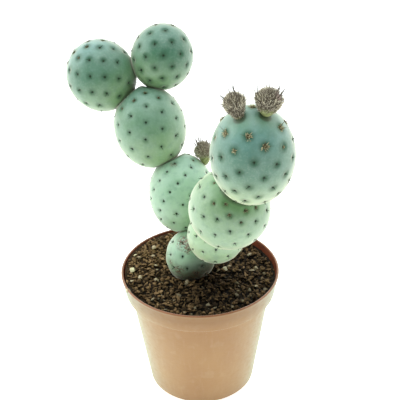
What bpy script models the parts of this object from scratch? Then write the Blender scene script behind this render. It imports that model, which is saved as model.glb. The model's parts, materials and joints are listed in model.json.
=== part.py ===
# Potted tephrocactus: a small jointed cactus of eight round stem segments with three bristly
# buds, standing in gravelly soil in a thin plastic pot.
# The front faces -Y and the origin is the centre of the pot's underside, with +Z up.

import math
import random
from collections import namedtuple

import bmesh
import bpy
from mathutils import Matrix, Vector
from mathutils.geometry import delaunay_2d_cdt

# Lengths are in millimetres and angles in degrees. MM turns a length into metres.
MM = 0.001
GAP = 0.3
GOLDEN_TURN = 180.0 * (3.0 - math.sqrt(5.0))

# The pot
POT_HEIGHT = 70.0
RIM_RADIUS = 42.5
LIP_WIDTH = 1.3
BAND_HEIGHT = 11.5
BAND_FOOT_RADIUS = 40.4
BODY_TOP_RADIUS = 37.8
FOOT_RADIUS = 29.0
WALL = 1.2
FLOOR = 1.5
FOOT_RECESS = 1.2
FOOT_RING_WIDTH = 4.4
FOOT_DISC_RADIUS = 11.0
LIP_FLARE_HEIGHT = 1.5
EDGE_ROUND = 0.6
POT_SIDES = 48
DRAIN_HOLES = 6
DRAIN_RADIUS = 2.6
DRAIN_CIRCLE = 18.0
DRAIN_SIDES = 12

# The soil's surface: its height at the middle, how it slopes, and its grains
SOIL_LEVEL = 67.4
SOIL_SLOPE_X = -0.022
SOIL_SLOPE_Y = -0.014
GRAIN_SPACING = 3.5
GRAIN_PACKING = 1.15
GRAIN_SHARP = 5
GRAIN_RELIEF = 0.75
SOIL_SEED = 11

# The root and the height at which the lowest segment ends on it
ROOT_TOP = 61.6
ROOT_LENGTH = 42.0
ROOT_TOP_RADIUS = 5.0
ROOT_TIP_RADIUS = 0.9
ROOT_BEND = 3.0
ROOT_TAPER = 1.4
ROOT_SIDES = 10
ROOT_RINGS = 8

# The areoles, which are small pits with a tuft of bristles, and the skin's points between them
AREOLE_RADIUS = 1.1
AREOLE_SIDES = 4
AREOLE_DEPTH = 0.35
TUFT_HEIGHT = 0.6
TIP_TUFT_EXTRA = 0.9
PIT_REACH = 2.3
SKIN_SPACING = 3.9
BURIED_MARGIN = 2.5

# The buds' bristles
BRISTLE_SPACING = 2.0
BRISTLE_RADIUS = 0.42
BRISTLE_LENGTH = 1.5
BRISTLE_SIDES = 3
BRISTLE_SLANT = 0.5
BUD_WAIST = 0.62
BUD_BARE_BELOW = -0.75
BUD_BASE_RING = 25.0
BUD_BASE_SIDES = 8

# How deep a segment is pressed into the one that it grows from, as a share of its radius
SEAT = 0.955

# Each stem segment has a parent, a full width and a length as a multiple of it. Its seat is
# the place on the parent that it grows from and its lean is the way that it points, each as
# an azimuth from +X and a rise above level. Its areoles follow a spiral from the tip down:
# their number, how much they crowd to the tip, the first one's angle and the turn from each
# one to the next, which is close to the golden angle and negative where it runs clockwise.
Segment = namedtuple(
    "Segment", "parent width stretch seat lean areoles crowding first_angle turn colour"
)
BLUE_GREEN = (0.115, 0.275, 0.195)
PALE_GREEN = (0.19, 0.36, 0.22)
BASE_CENTRE = Vector((-4.5, 3.8, POT_HEIGHT + 6.0))
SEGMENTS = {
    "segment_base": Segment(None, 27.2, 1.1, None, (15, 70), 44, 1.0, 20, 137.51, PALE_GREEN),
    "segment_back_lower": Segment(
        "segment_base", 35.6, 1.21, (122, 61), (94, 54), 80, 1.02, 53, -136.82, PALE_GREEN
    ),
    "segment_back_middle": Segment(
        "segment_back_lower", 38.4, 1.16, (149, 44), (119, 64), 73, 1.25, 137, 137.92, BLUE_GREEN
    ),
    "segment_back_left": Segment(
        "segment_back_middle", 36.8, 1.07, (153, 29), (149, 52), 71, 1.08, 171, 137.43, BLUE_GREEN
    ),
    "segment_back_top": Segment(
        "segment_back_middle", 33.2, 1.07, (69, 65), (58, 62), 60, 0.87, 145, 137.62, BLUE_GREEN
    ),
    "segment_front_lower": Segment(
        "segment_base", 30.0, 1.05, (-37, 41), (-54, 55), 46, 1.0, 75, -137.51, PALE_GREEN
    ),
    "segment_front_middle": Segment(
        "segment_front_lower", 39.6, 1.08, (-66, 60), (-78, 47), 72, 1.83, 142, -137.51, PALE_GREEN
    ),
    "segment_front_top": Segment(
        "segment_front_middle", 38.6, 1.29, (-44, 44), (-97, 76), 84, 0.83, 266, -137.48, BLUE_GREEN
    ),
}
TOUCHING = [("segment_back_left", "segment_back_top")]

# Each bud has the segment that carries it, its width and length, its seat and its lean
Bud = namedtuple("Bud", "parent width length seat lean")
BUDS = {
    "bud_front_left": Bud("segment_front_top", 10.0, 11.6, (-130, 66), (138, 64)),
    "bud_front_right": Bud("segment_front_top", 12.6, 12.4, (-57, 69), (51, 71)),
    "bud_back": Bud("segment_back_lower", 10.0, 13.2, (28, 42), (104, 78)),
}
BUD_SEAT = 0.987

Egg = namedtuple("Egg", "centre axis half_width half_length")
Cut = namedtuple("Cut", "point outward")


def heading(azimuth, rise):
    """The unit vector at an azimuth from +X and a rise above level."""
    flat = math.cos(math.radians(rise))
    around = math.radians(azimuth)
    return Vector((flat * math.cos(around), flat * math.sin(around), math.sin(math.radians(rise))))


def skin_distance(egg, direction):
    """How far the egg's skin lies from its centre along a unit direction."""
    along = egg.axis.dot(direction)
    return 1.0 / math.sqrt(along**2 / egg.half_length**2 + (1.0 - along**2) / egg.half_width**2)


def skin_normal(egg, direction):
    """The unit vector square to the egg's skin, where a direction from its centre meets it."""
    along = egg.axis * egg.axis.dot(direction)
    across = direction - along
    return (along / egg.half_length**2 + across / egg.half_width**2).normalized()


def segment_eggs():
    """Each segment's egg, and the flat cuts where it meets its neighbours."""
    eggs = {}
    cuts = {name: [] for name in SEGMENTS}
    for name, segment in SEGMENTS.items():
        half_width = segment.width / 2
        half_length = half_width * segment.stretch
        axis = heading(*segment.lean)
        centre = BASE_CENTRE
        if segment.parent:
            parent = eggs[segment.parent]
            seat = heading(*segment.seat)
            contact = parent.centre + seat * skin_distance(parent, seat) * SEAT
            centre = contact + axis * half_length * SEAT
            outward = (seat + axis).normalized()
            cuts[segment.parent].append(Cut(contact - outward * GAP / 2, outward))
            cuts[name].append(Cut(contact + outward * GAP / 2, -outward))
        eggs[name] = Egg(centre, axis, half_width, half_length)
    for first, second in TOUCHING:
        apart = eggs[second].centre - eggs[first].centre
        share = eggs[first].half_width / (eggs[first].half_width + eggs[second].half_width)
        middle = eggs[first].centre + apart * share
        outward = apart.normalized()
        cuts[first].append(Cut(middle - outward * GAP / 2, outward))
        cuts[second].append(Cut(middle + outward * GAP / 2, -outward))
    cuts["segment_base"].append(Cut(Vector((0.0, 0.0, ROOT_TOP + GAP)), Vector((0.0, 0.0, -1.0))))
    return eggs, cuts


def axis_frame(axis):
    """The turn that takes +Z to the axis, with the first areole's angle measured from level."""
    upright = abs(axis.z) >= 0.9
    helper = Vector((0.0, -1.0, 0.0)) if upright else Vector((0.0, 0.0, 1.0))
    across = helper.cross(axis).normalized()
    return Matrix((across, axis.cross(across), axis)).transposed()


def spiral(count, crowding=1.0, first_angle=0.0, turn=GOLDEN_TURN):
    """Unit vectors on a spiral from the +Z pole down, with angles in degrees."""
    points = []
    for step in range(count):
        height = 1.0 - 2.0 * ((step + 0.5) / count) ** crowding
        around = math.radians(first_angle + step * turn)
        reach = math.sqrt(1.0 - height * height)
        points.append(Vector((reach * math.cos(around), reach * math.sin(around), height)))
    return points


def ring_about(pole, angle, count):
    """Unit vectors in a small ring about a unit vector."""
    turn = axis_frame(pole)
    ring = []
    for step in range(count):
        around = 2.0 * math.pi * step / count
        level = Vector((math.cos(around), math.sin(around), 0.0))
        ring.append(turn @ (level * math.sin(angle) + Vector((0.0, 0.0, math.cos(angle)))))
    return ring


def hull_faces(directions):
    """The triangles that join points on a unit sphere, as lists of three point numbers."""
    shell = bmesh.new()
    order = shell.verts.layers.int.new("order")
    for index, direction in enumerate(directions):
        shell.verts.new(direction)[order] = index
    bmesh.ops.convex_hull(shell, input=shell.verts, use_existing_faces=False)
    faces = [[vert[order] for vert in face.verts] for face in shell.faces]
    shell.free()
    return faces


def flatten(point, cuts):
    """A point, moved straight back onto each cut that it lies beyond."""
    for cut in cuts:
        beyond = (point - cut.point).dot(cut.outward)
        if beyond > 0.0:
            point = point - cut.outward * beyond
    return point


def material(name, colour, roughness):
    made = bpy.data.materials.new(name)
    made.use_nodes = True
    shader = made.node_tree.nodes["Principled BSDF"]
    shader.inputs["Base Color"].default_value = (*colour, 1.0)
    shader.inputs["Roughness"].default_value = roughness
    shader.inputs["Metallic"].default_value = 0.0
    return made


def add_object(name, points, faces, made_material, origin=Vector(), sharp=40):
    """One object from points in millimetres, with its origin at a given place."""
    mesh = bpy.data.meshes.new(name)
    mesh.from_pydata([(point - origin) * MM for point in points], [], faces)
    shape = bmesh.new()
    shape.from_mesh(mesh)
    bmesh.ops.recalc_face_normals(shape, faces=shape.faces)
    shape.to_mesh(mesh)
    shape.free()
    mesh.shade_smooth()
    mesh.set_sharp_from_angle(angle=math.radians(sharp))
    mesh.materials.append(made_material)
    placed = bpy.data.objects.new(name, mesh)
    placed.location = origin * MM
    bpy.context.scene.collection.objects.link(placed)
    return placed


def add_cutter(target, cutter, name):
    """Cuts one object from another with a Boolean that stays on it."""
    cutter.hide_render = True
    cutter.display_type = "WIRE"
    boolean = target.modifiers.new(name, "BOOLEAN")
    boolean.operation = "DIFFERENCE"
    boolean.solver = "EXACT"
    boolean.object = cutter


def ring_solid(rings, sides):
    """Points and faces of a closed solid through rings of points, with a flat face at each end."""
    points = [point for ring in rings for point in ring]
    faces = []
    for level in range(len(rings) - 1):
        low = level * sides
        high = low + sides
        for side in range(sides):
            after = (side + 1) % sides
            faces.append([low + side, low + after, high + after, high + side])
    faces.append(list(range(sides))[::-1])
    faces.append([(len(rings) - 1) * sides + side for side in range(sides)])
    return points, faces


def circle_points(centre, radius, sides):
    """A level ring of points."""
    ring = []
    for side in range(sides):
        around = 2.0 * math.pi * side / sides
        ring.append(centre + Vector((math.cos(around), math.sin(around), 0.0)) * radius)
    return ring


def body_radius(height):
    """The outer radius of the pot's tapered body."""
    share = height / (POT_HEIGHT - BAND_HEIGHT)
    return FOOT_RADIUS + (BODY_TOP_RADIUS - FOOT_RADIUS) * share


def band_radius(height):
    """The outer radius of the pot's rim band."""
    share = (height - (POT_HEIGHT - BAND_HEIGHT)) / BAND_HEIGHT
    return BAND_FOOT_RADIUS + (RIM_RADIUS - BAND_FOOT_RADIUS) * share


def pot_profile():
    """The pot's half section: radius and height, from the underside round the lip to the floor."""
    band_foot = POT_HEIGHT - BAND_HEIGHT
    inner_floor = FOOT_RECESS + FLOOR
    edge = EDGE_ROUND
    return [
        (FOOT_DISC_RADIUS, 0.0),
        (FOOT_DISC_RADIUS + FOOT_RECESS, FOOT_RECESS),
        (FOOT_RADIUS - FOOT_RING_WIDTH - FOOT_RECESS, FOOT_RECESS),
        (FOOT_RADIUS - FOOT_RING_WIDTH, 0.0),
        (FOOT_RADIUS - edge, 0.0),
        (body_radius(edge), edge),
        (body_radius(band_foot), band_foot),
        (BAND_FOOT_RADIUS, band_foot),
        (RIM_RADIUS - edge / 2, POT_HEIGHT - LIP_FLARE_HEIGHT),
        (RIM_RADIUS, POT_HEIGHT - edge),
        (RIM_RADIUS - edge / 2, POT_HEIGHT),
        (RIM_RADIUS - LIP_WIDTH + edge / 2, POT_HEIGHT),
        (RIM_RADIUS - LIP_WIDTH, POT_HEIGHT - edge),
        (BAND_FOOT_RADIUS - WALL, band_foot + WALL),
        (body_radius(band_foot) - WALL, band_foot + WALL),
        (body_radius(inner_floor) - WALL, inner_floor),
    ]


def drain_cutter():
    """The short posts that cut the drain holes, in one mesh."""
    points = []
    faces = []
    below = Vector((0.0, 0.0, -FLOOR))
    above = Vector((0.0, 0.0, FOOT_RECESS + FLOOR * 2))
    for hole in range(DRAIN_HOLES):
        around = 2.0 * math.pi * (hole + 0.5) / DRAIN_HOLES
        centre = Vector((math.cos(around), math.sin(around), 0.0)) * DRAIN_CIRCLE
        low = circle_points(centre + below, DRAIN_RADIUS, DRAIN_SIDES)
        high = circle_points(centre + above, DRAIN_RADIUS, DRAIN_SIDES)
        post_points, post_faces = ring_solid([low, high], DRAIN_SIDES)
        faces += [[index + len(points) for index in face] for face in post_faces]
        points += post_points
    return add_object("drain_cutter", points, faces, None)


def build_pot():
    """Moulded plastic pot: a turned wall with a stepped rim band, and drain holes in its floor."""
    rings = [circle_points(Vector((0.0, 0.0, z)), r, POT_SIDES) for r, z in pot_profile()]
    points, faces = ring_solid(rings, POT_SIDES)
    pot = add_object("pot", points, faces, material("pot_plastic", (0.5, 0.27, 0.14), 0.45))
    add_cutter(pot, drain_cutter(), "drain_holes")


def soil_height(x, y):
    """The height of the soil's surface without its grains."""
    return SOIL_LEVEL + SOIL_SLOPE_X * x + SOIL_SLOPE_Y * y


def root_rings(extra):
    """The root's rings from the tip up, with extra added to its radius."""
    rings = []
    for level in range(ROOT_RINGS):
        share = level / (ROOT_RINGS - 1)
        radius = ROOT_TIP_RADIUS + (ROOT_TOP_RADIUS - ROOT_TIP_RADIUS) * share**ROOT_TAPER + extra
        sway = ROOT_BEND * math.sin(math.pi * share)
        height = ROOT_TOP - ROOT_LENGTH * (1.0 - share)
        centre = Vector((BASE_CENTRE.x + sway, BASE_CENTRE.y, height))
        rings.append(circle_points(centre, radius, ROOT_SIDES))
    return rings


def build_root():
    """The main root, a tapered and slightly bent peg below the lowest segment."""
    points, faces = ring_solid(root_rings(0.0), ROOT_SIDES)
    origin = Vector((BASE_CENTRE.x, BASE_CENTRE.y, ROOT_TOP))
    add_object("root", points, faces, material("root_bark", (0.2, 0.13, 0.07), 0.8), origin)


def root_hole_cutter():
    """The root's hole: the root's rings grown by the gap, closed a little below and above."""
    rings = root_rings(GAP * 1.5)
    below = [point - Vector((0.0, 0.0, GAP * 2)) for point in rings[0]]
    above = [point + Vector((0.0, 0.0, GAP * 2)) for point in rings[-1]]
    points, faces = ring_solid([below] + rings + [above], ROOT_SIDES)
    return add_object("root_hole_cutter", points, faces, None)


def stem_hole_cutter(egg):
    """The lowest segment's hole in the soil: its egg, grown by the gap."""
    bpy.ops.mesh.primitive_ico_sphere_add(subdivisions=4, radius=1.0)
    cutter = bpy.context.active_object
    cutter.name = "stem_hole_cutter"
    turn = axis_frame(egg.axis)
    grown = Vector((egg.half_width + GAP, egg.half_width + GAP, egg.half_length + GAP))
    floor = ROOT_TOP
    for vert in cutter.data.vertices:
        place = egg.centre + turn @ (vert.co * grown)
        place.z = max(place.z, floor)
        vert.co = place * MM
    return cutter


def soil_top_points():
    """Grains of the surface on a sunflower spiral inside the boundary ring."""
    draw = random.Random(SOIL_SEED)
    reach = band_radius(SOIL_LEVEL) - WALL - GRAIN_SPACING / 2
    count = int(math.pi * (reach / GRAIN_SPACING) ** 2 * GRAIN_PACKING)
    points = []
    for step in range(count):
        radius = reach * math.sqrt((step + 0.5) / count)
        around = math.radians(step * GOLDEN_TURN)
        x = radius * math.cos(around)
        y = radius * math.sin(around)
        points.append(Vector((x, y, soil_height(x, y) + draw.uniform(-1.0, 1.0) * GRAIN_RELIEF)))
    return points


def build_soil(base_egg):
    """Gravelly soil: it fills the pot, with an uneven surface and a plain hole for the plant."""
    ledge = POT_HEIGHT - BAND_HEIGHT + WALL + GAP
    floor = FOOT_RECESS + FLOOR + GAP
    inset = WALL + GAP * 1.5
    body_top = body_radius(POT_HEIGHT - BAND_HEIGHT) - inset
    side_rings = [
        circle_points(Vector((0.0, 0.0, floor)), body_radius(floor) - inset, POT_SIDES),
        circle_points(Vector((0.0, 0.0, ledge)), body_top, POT_SIDES),
        circle_points(Vector((0.0, 0.0, ledge)), band_radius(ledge) - inset, POT_SIDES),
    ]
    border = []
    for flat in circle_points(Vector(), 1.0, POT_SIDES):
        radius = band_radius(SOIL_LEVEL) - inset
        height = soil_height(flat.x * radius, flat.y * radius)
        border.append(flat * (band_radius(height) - inset) + Vector((0.0, 0.0, height)))
    points, faces = ring_solid(side_rings + [border], POT_SIDES)
    faces.pop()
    first_border = POT_SIDES * len(side_rings)
    top = border + soil_top_points()
    flat_points = [point.xy for point in top]
    edge_loop = [(side, (side + 1) % POT_SIDES) for side in range(POT_SIDES)]
    inside_only = 1
    found = delaunay_2d_cdt(flat_points, edge_loop, [], inside_only, 1e-6)
    triangles = found[2]
    sources = found[3]
    points += top[POT_SIDES:]
    faces += [[first_border + sources[index][0] for index in face] for face in triangles]
    soil_mix = material("soil_mix", (0.035, 0.024, 0.016), 0.95)
    soil = add_object("soil", points, faces, soil_mix, sharp=GRAIN_SHARP)
    add_cutter(soil, stem_hole_cutter(base_egg), "stem_hole")
    add_cutter(soil, root_hole_cutter(), "root_hole")


def is_buried(name, point):
    """Whether a point of the lowest segment is in the soil, where it has no tufts."""
    if name != "segment_base":
        return False
    return point.z < soil_height(point.x, point.y) + BURIED_MARGIN


def near_cut(point, cuts):
    """Whether a point lies on or close to a flat contact, where there are no tufts."""
    return any((point - cut.point).dot(cut.outward) > -AREOLE_RADIUS for cut in cuts)


def build_segment(name, egg, cuts):
    """A stem segment: an egg of skin, with an areole's pit and tuft at each point of its spiral."""
    segment = SEGMENTS[name]
    turn = axis_frame(egg.axis)
    stretch = Vector((egg.half_width, egg.half_width, egg.half_length))

    def on_skin(direction, raised):
        place = turn @ (direction * stretch)
        return egg.centre + place + (turn @ direction) * raised

    directions = []
    raises = []
    kept_areoles = []
    areoles = spiral(segment.areoles, segment.crowding, segment.first_angle, segment.turn)
    for areole in areoles:
        place = on_skin(areole, 0.0)
        if is_buried(name, place) or near_cut(place, cuts):
            continue
        kept_areoles.append(areole)
        directions.append(areole)
        raises.append(TUFT_HEIGHT + TIP_TUFT_EXTRA * max(areole.z, 0.0) ** 2)
        for point in ring_about(areole, AREOLE_RADIUS / egg.half_width, AREOLE_SIDES):
            directions.append(point)
            raises.append(-AREOLE_DEPTH)
    skin_count = int(4.0 * math.pi * (egg.half_width / SKIN_SPACING) ** 2)
    clear = math.cos(PIT_REACH / egg.half_width)
    for point in spiral(skin_count, turn=-segment.turn):
        if all(point.dot(areole) < clear for areole in kept_areoles):
            directions.append(point)
            raises.append(0.0)
    faces = hull_faces(directions)
    points = [flatten(on_skin(d, r), cuts) for d, r in zip(directions, raises)]
    skin = material(name + "_skin", segment.colour, 0.6)
    add_object(name, points, faces, skin, egg.centre)


def build_bud(name, bud, eggs, cuts):
    """A dry bud: a cup-shaped head, narrow at its seat, covered with slanting bristles."""
    parent = eggs[bud.parent]
    seat = heading(*bud.seat)
    axis = heading(*bud.lean)
    contact = parent.centre + seat * skin_distance(parent, seat) * BUD_SEAT
    outward = skin_normal(parent, seat)
    cuts[bud.parent].append(Cut(contact - outward * GAP / 2, outward))
    cut = Cut(contact + outward * GAP / 2, -outward)
    turn = axis_frame(axis)
    half_width = bud.width / 2
    centre = contact + axis * bud.length * BUD_SEAT / 2

    def on_head(direction, raised):
        lift = (direction.z + 1.0) / 2
        waist = BUD_WAIST + (1.0 - BUD_WAIST) * min(lift / BUD_WAIST, 1.0)
        flat = Vector((direction.x, direction.y, 0.0)) * half_width * waist
        place = flat + Vector((0.0, 0.0, direction.z * bud.length / 2))
        slant = (direction + Vector((0.0, 0.0, BRISTLE_SLANT))).normalized()
        return centre + turn @ (place + slant * raised)

    bristles = int(math.pi * bud.width * bud.length / BRISTLE_SPACING**2)
    directions = []
    raises = []
    for tip in spiral(bristles):
        if tip.z < BUD_BARE_BELOW:
            continue
        directions.append(tip)
        raises.append(BRISTLE_LENGTH)
        for point in ring_about(tip, BRISTLE_RADIUS / half_width, BRISTLE_SIDES):
            directions.append(point)
            raises.append(0.0)
    for point in ring_about(Vector((0.0, 0.0, -1.0)), math.radians(BUD_BASE_RING), BUD_BASE_SIDES):
        directions.append(point)
        raises.append(0.0)
    directions.append(Vector((0.0, 0.0, -1.0)))
    raises.append(0.0)
    faces = hull_faces(directions)
    points = [flatten(on_head(d, r), [cut]) for d, r in zip(directions, raises)]
    bristle = material(name + "_bristles", (0.19, 0.13, 0.09), 0.85)
    add_object(name, points, faces, bristle, contact)


def main():
    for old in list(bpy.data.objects):
        bpy.data.objects.remove(old, do_unlink=True)
    eggs, cuts = segment_eggs()
    build_pot()
    build_root()
    build_soil(eggs["segment_base"])
    for name, bud in BUDS.items():
        build_bud(name, bud, eggs, cuts)
    for name, egg in eggs.items():
        build_segment(name, egg, cuts[name])


main()
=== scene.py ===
import json
import math
import random

import bmesh
import bpy
import numpy as np
from mathutils import Matrix, Vector

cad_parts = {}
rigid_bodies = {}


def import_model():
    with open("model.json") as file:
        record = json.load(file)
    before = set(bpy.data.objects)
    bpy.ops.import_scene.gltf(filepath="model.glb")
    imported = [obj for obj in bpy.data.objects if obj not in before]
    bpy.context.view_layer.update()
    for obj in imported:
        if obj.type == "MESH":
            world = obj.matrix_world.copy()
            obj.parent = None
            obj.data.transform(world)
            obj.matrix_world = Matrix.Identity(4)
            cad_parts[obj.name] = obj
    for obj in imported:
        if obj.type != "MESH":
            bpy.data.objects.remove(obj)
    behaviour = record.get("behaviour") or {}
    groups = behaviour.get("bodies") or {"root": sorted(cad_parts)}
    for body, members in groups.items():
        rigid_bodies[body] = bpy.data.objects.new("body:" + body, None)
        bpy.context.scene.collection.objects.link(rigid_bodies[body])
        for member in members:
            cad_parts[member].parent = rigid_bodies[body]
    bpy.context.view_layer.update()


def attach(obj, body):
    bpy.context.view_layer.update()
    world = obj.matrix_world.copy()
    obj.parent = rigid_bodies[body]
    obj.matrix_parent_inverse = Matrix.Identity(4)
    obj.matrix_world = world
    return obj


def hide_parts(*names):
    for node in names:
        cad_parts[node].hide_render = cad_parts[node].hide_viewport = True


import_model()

# The pot
# A thin terracotta-coloured nursery pot, injection moulded in one piece with a stepped rim band,
# a small flared lip and six drain holes. It stands on its foot ring and holds all the rest.

# Lengths are in millimetres and angles in degrees, and MM turns a length into metres
MM = 0.001
GAP = 0.3
POT_HEIGHT = 70.0
RIM_RADIUS = 42.5
LIP_WIDTH = 1.3
LIP_FLARE_HEIGHT = 1.5
BAND_HEIGHT = 11.5
BAND_FOOT_RADIUS = 40.4
BODY_TOP_RADIUS = 37.8
FOOT_RADIUS = 29.0
FOOT_RECESS = 1.2
FOOT_RING_WIDTH = 4.4
FOOT_DISC_RADIUS = 11.0
WALL = 1.2
FLOOR = 1.5
EDGE_ROUND = 0.6
POT_SIDES = 160
CORNER_REACH = 0.45
CORNER_SHARE = 0.45
CORNER_STEPS = 4
WALL_STEP = 4.0
# How strong the rim band's painted shade stays below its foot, and how far it fades
BAND_TRACE = 0.35
BAND_FADE = 26.0
DRAIN_HOLES = 6
DRAIN_RADIUS = 2.6
DRAIN_CIRCLE = 18.0
DRAIN_SIDES = 32


def socket_of(sockets, label=None):
    """The first socket in use, or the one with this label."""
    return next(socket for socket in sockets if socket.enabled and label in (None, socket.name))


def feed(tree, made, links):
    """Links or sets a node's inputs, each named by its label or its number."""
    for label, value in links.items():
        socket = made.inputs[label] if isinstance(label, int) else socket_of(made.inputs, label)
        if isinstance(value, bpy.types.NodeSocket):
            tree.links.new(value, socket)
        else:
            socket.default_value = value


def node(tree, kind, links=None, label=None, **settings):
    """Adds a node with its settings and inputs, and gives its first or its labelled output."""
    made = tree.nodes.new(kind)
    for name, value in settings.items():
        setattr(made, name, value)
    feed(tree, made, links or {})
    return socket_of(made.outputs, label)


def maths(tree, operation, *numbers):
    """One sum on numbers."""
    return node(tree, "ShaderNodeMath", dict(enumerate(numbers)), operation=operation)


def vectors(tree, operation, first, second, label=None):
    """One sum on two vectors, or on a vector and a scale."""
    links = {0: first, "Scale" if operation == "SCALE" else 1: second}
    return node(tree, "ShaderNodeVectorMath", links, label, operation=operation)


def ramp(tree, value, low, high, to_low=0.0, to_high=1.0):
    """A soft step from to_low to to_high as the value goes from low to high."""
    links = {"Value": value, "From Min": low, "From Max": high}
    links.update({"To Min": to_low, "To Max": to_high})
    return node(tree, "ShaderNodeMapRange", links, interpolation_type="SMOOTHSTEP")


def tint(tree, amount, under, over, blend="MIX"):
    """One colour laid over another by an amount from 0 to 1."""
    links = {"Factor": amount}
    for label, colour in (("A", under), ("B", over)):
        links[label] = colour if isinstance(colour, bpy.types.NodeSocket) else (*colour, 1.0)
    return node(tree, "ShaderNodeMix", links, data_type="RGBA", blend_type=blend)


def veil(tree, mask, strength, under, over):
    """One colour laid over another by a mask at part strength."""
    return tint(tree, maths(tree, "MULTIPLY", mask, strength), under, over)


def attribute(tree, name):
    """A number that is stored on the piece's own points."""
    return node(tree, "ShaderNodeAttribute", label="Fac", attribute_name=name)


def ends(tree):
    """A node group's inputs by name, and its output node."""
    start = tree.nodes.new("NodeGroupInput")
    return {socket.name: socket for socket in start.outputs}, tree.nodes.new("NodeGroupOutput")


def shader_group(name, inputs, outputs):
    """An empty shader node group with named number sockets."""
    group = bpy.data.node_groups.new(name, "ShaderNodeTree")
    for label, value in inputs.items():
        made = group.interface.new_socket(label, in_out="INPUT", socket_type="NodeSocketFloat")
        made.default_value = value
    for label in outputs:
        group.interface.new_socket(label, in_out="OUTPUT", socket_type="NodeSocketFloat")
    return group, *ends(group)


def build_mottle():
    """Soft uneven patches of a given size, as a mask and as a height."""
    inputs = {"Size": 5.0, "Detail": 3.0, "Stretch": 1.0, "Low": 0.35, "High": 0.65, "Shift": 0.0}
    group, given, made = shader_group("mottle", inputs, ["Mask", "Height"])
    place = node(group, "ShaderNodeTexCoord", label="Object")
    sized = vectors(group, "SCALE", place, maths(group, "DIVIDE", 1.0 / MM, given["Size"]))
    squeeze = maths(group, "DIVIDE", 1.0, given["Stretch"])
    scales = node(group, "ShaderNodeCombineXYZ", {"X": 1.0, "Y": 1.0, "Z": squeeze})
    stretched = vectors(group, "MULTIPLY", sized, scales)
    shift = node(group, "ShaderNodeCombineXYZ", {"X": given["Shift"]})
    moved = vectors(group, "ADD", stretched, shift)
    links = {"Vector": moved, "Scale": 1.0, "Detail": given["Detail"]}
    noise = node(group, "ShaderNodeTexNoise", links)
    feed(group, made, {"Mask": ramp(group, noise, given["Low"], given["High"]), "Height": noise})
    return group


def build_specks():
    """Scattered small round specks of a given spacing, as a mask."""
    inputs = {"Spacing": 2.0, "Radius": 0.2, "Share": 0.3}
    group, given, made = shader_group("specks", inputs, ["Mask"])
    place = node(group, "ShaderNodeTexCoord", label="Object")
    sized = vectors(group, "SCALE", place, maths(group, "DIVIDE", 1.0 / MM, given["Spacing"]))
    distance = node(group, "ShaderNodeTexVoronoi", {"Vector": sized, "Scale": 1.0}, "Distance")
    reach = maths(group, "DIVIDE", given["Radius"], given["Spacing"])
    spot = ramp(group, maths(group, "DIVIDE", distance, reach), 0.6, 1.0, 1.0, 0.0)
    cell = node(group, "ShaderNodeSeparateColor", {0: distance.node.outputs["Color"]})
    kept = maths(group, "LESS_THAN", cell, given["Share"])
    feed(group, made, {"Mask": maths(group, "MULTIPLY", spot, kept)})
    return group


MOTTLE = build_mottle()
SPECKS = build_specks()


def effect(tree, group, label="Mask", **values):
    """A shared effect in a material, with this material's own values."""
    links = {name.capitalize(): value for name, value in values.items()}
    return node(tree, "ShaderNodeGroup", links, label, node_tree=group)


def new_material(name, roughness, **constants):
    """A material, with its shader and the values that are the same all over."""
    made = bpy.data.materials.new(name)
    made.use_nodes = True
    shader = made.node_tree.nodes["Principled BSDF"]
    shader.inputs["Roughness"].default_value = roughness
    for label, value in constants.items():
        shader.inputs[label.replace("_", " ")].default_value = value
    return made, made.node_tree, shader


def relief(tree, shader, *heights):
    """Bumps, one over the other: each is a height from 0 to 1 and its size in millimetres."""
    links = {}
    for height, size in heights:
        links.update({"Height": height, "Distance": size * MM, "Strength": 1.0})
        links["Normal"] = node(tree, "ShaderNodeBump", links)
    feed(tree, shader, {"Normal": links["Normal"]})


def at_angle(angle, radius=1.0, height=0.0):
    """A point at an angle in radians about the Z axis."""
    return Vector((radius * math.cos(angle), radius * math.sin(angle), height))


def soften(profile):
    """A profile with a small curve at each corner between its first and last points."""
    soft = [Vector(profile[0])]
    for before, corner, after in zip(profile, profile[1:], profile[2:]):
        corner = Vector(corner)
        back = Vector(before) - corner
        ahead = Vector(after) - corner
        start = corner + back * min(CORNER_REACH / back.length, CORNER_SHARE)
        end = corner + ahead * min(CORNER_REACH / ahead.length, CORNER_SHARE)
        for step in range(CORNER_STEPS + 1):
            share = step / CORNER_STEPS
            soft.append(start.lerp(corner, share).lerp(corner.lerp(end, share), share))
    return soft + [Vector(profile[-1])]


def divided(profile, longest):
    """A profile with points added so that no straight run is longer than this."""
    fine = [profile[0]]
    for before, after in zip(profile, profile[1:]):
        pieces = max(1, math.ceil((after - before).length / longest))
        fine += [before.lerp(after, (piece + 1) / pieces) for piece in range(pieces)]
    return fine


def turned(profile, sides):
    """Points and faces of a closed turned shape, whose profile starts and ends on the axis."""
    points = [Vector((0.0, 0.0, profile[0].y)), Vector((0.0, 0.0, profile[-1].y))]
    rings = profile[1:-1]
    for radius, height in rings:
        points += [at_angle(math.tau * side / sides, radius, height) for side in range(sides)]
    faces = []
    last = 2 + (len(rings) - 1) * sides
    for side in range(sides):
        after = (side + 1) % sides
        faces.append([0, 2 + after, 2 + side])
        faces.append([1, last + side, last + after])
        for low in range(2, last, sides):
            faces.append([low + side, low + after, low + sides + after, low + sides + side])
    return points, faces


def body_radius(height):
    """The outer radius of the pot's tapered body."""
    share = height / (POT_HEIGHT - BAND_HEIGHT)
    return FOOT_RADIUS + (BODY_TOP_RADIUS - FOOT_RADIUS) * share


def band_radius(height):
    """The outer radius of the pot's rim band."""
    share = (height - (POT_HEIGHT - BAND_HEIGHT)) / BAND_HEIGHT
    return BAND_FOOT_RADIUS + (RIM_RADIUS - BAND_FOOT_RADIUS) * share


def shown(name, mesh):
    """An object in the scene, left at the origin."""
    made = bpy.data.objects.new(name, mesh)
    bpy.context.scene.collection.objects.link(made)
    return made


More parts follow.
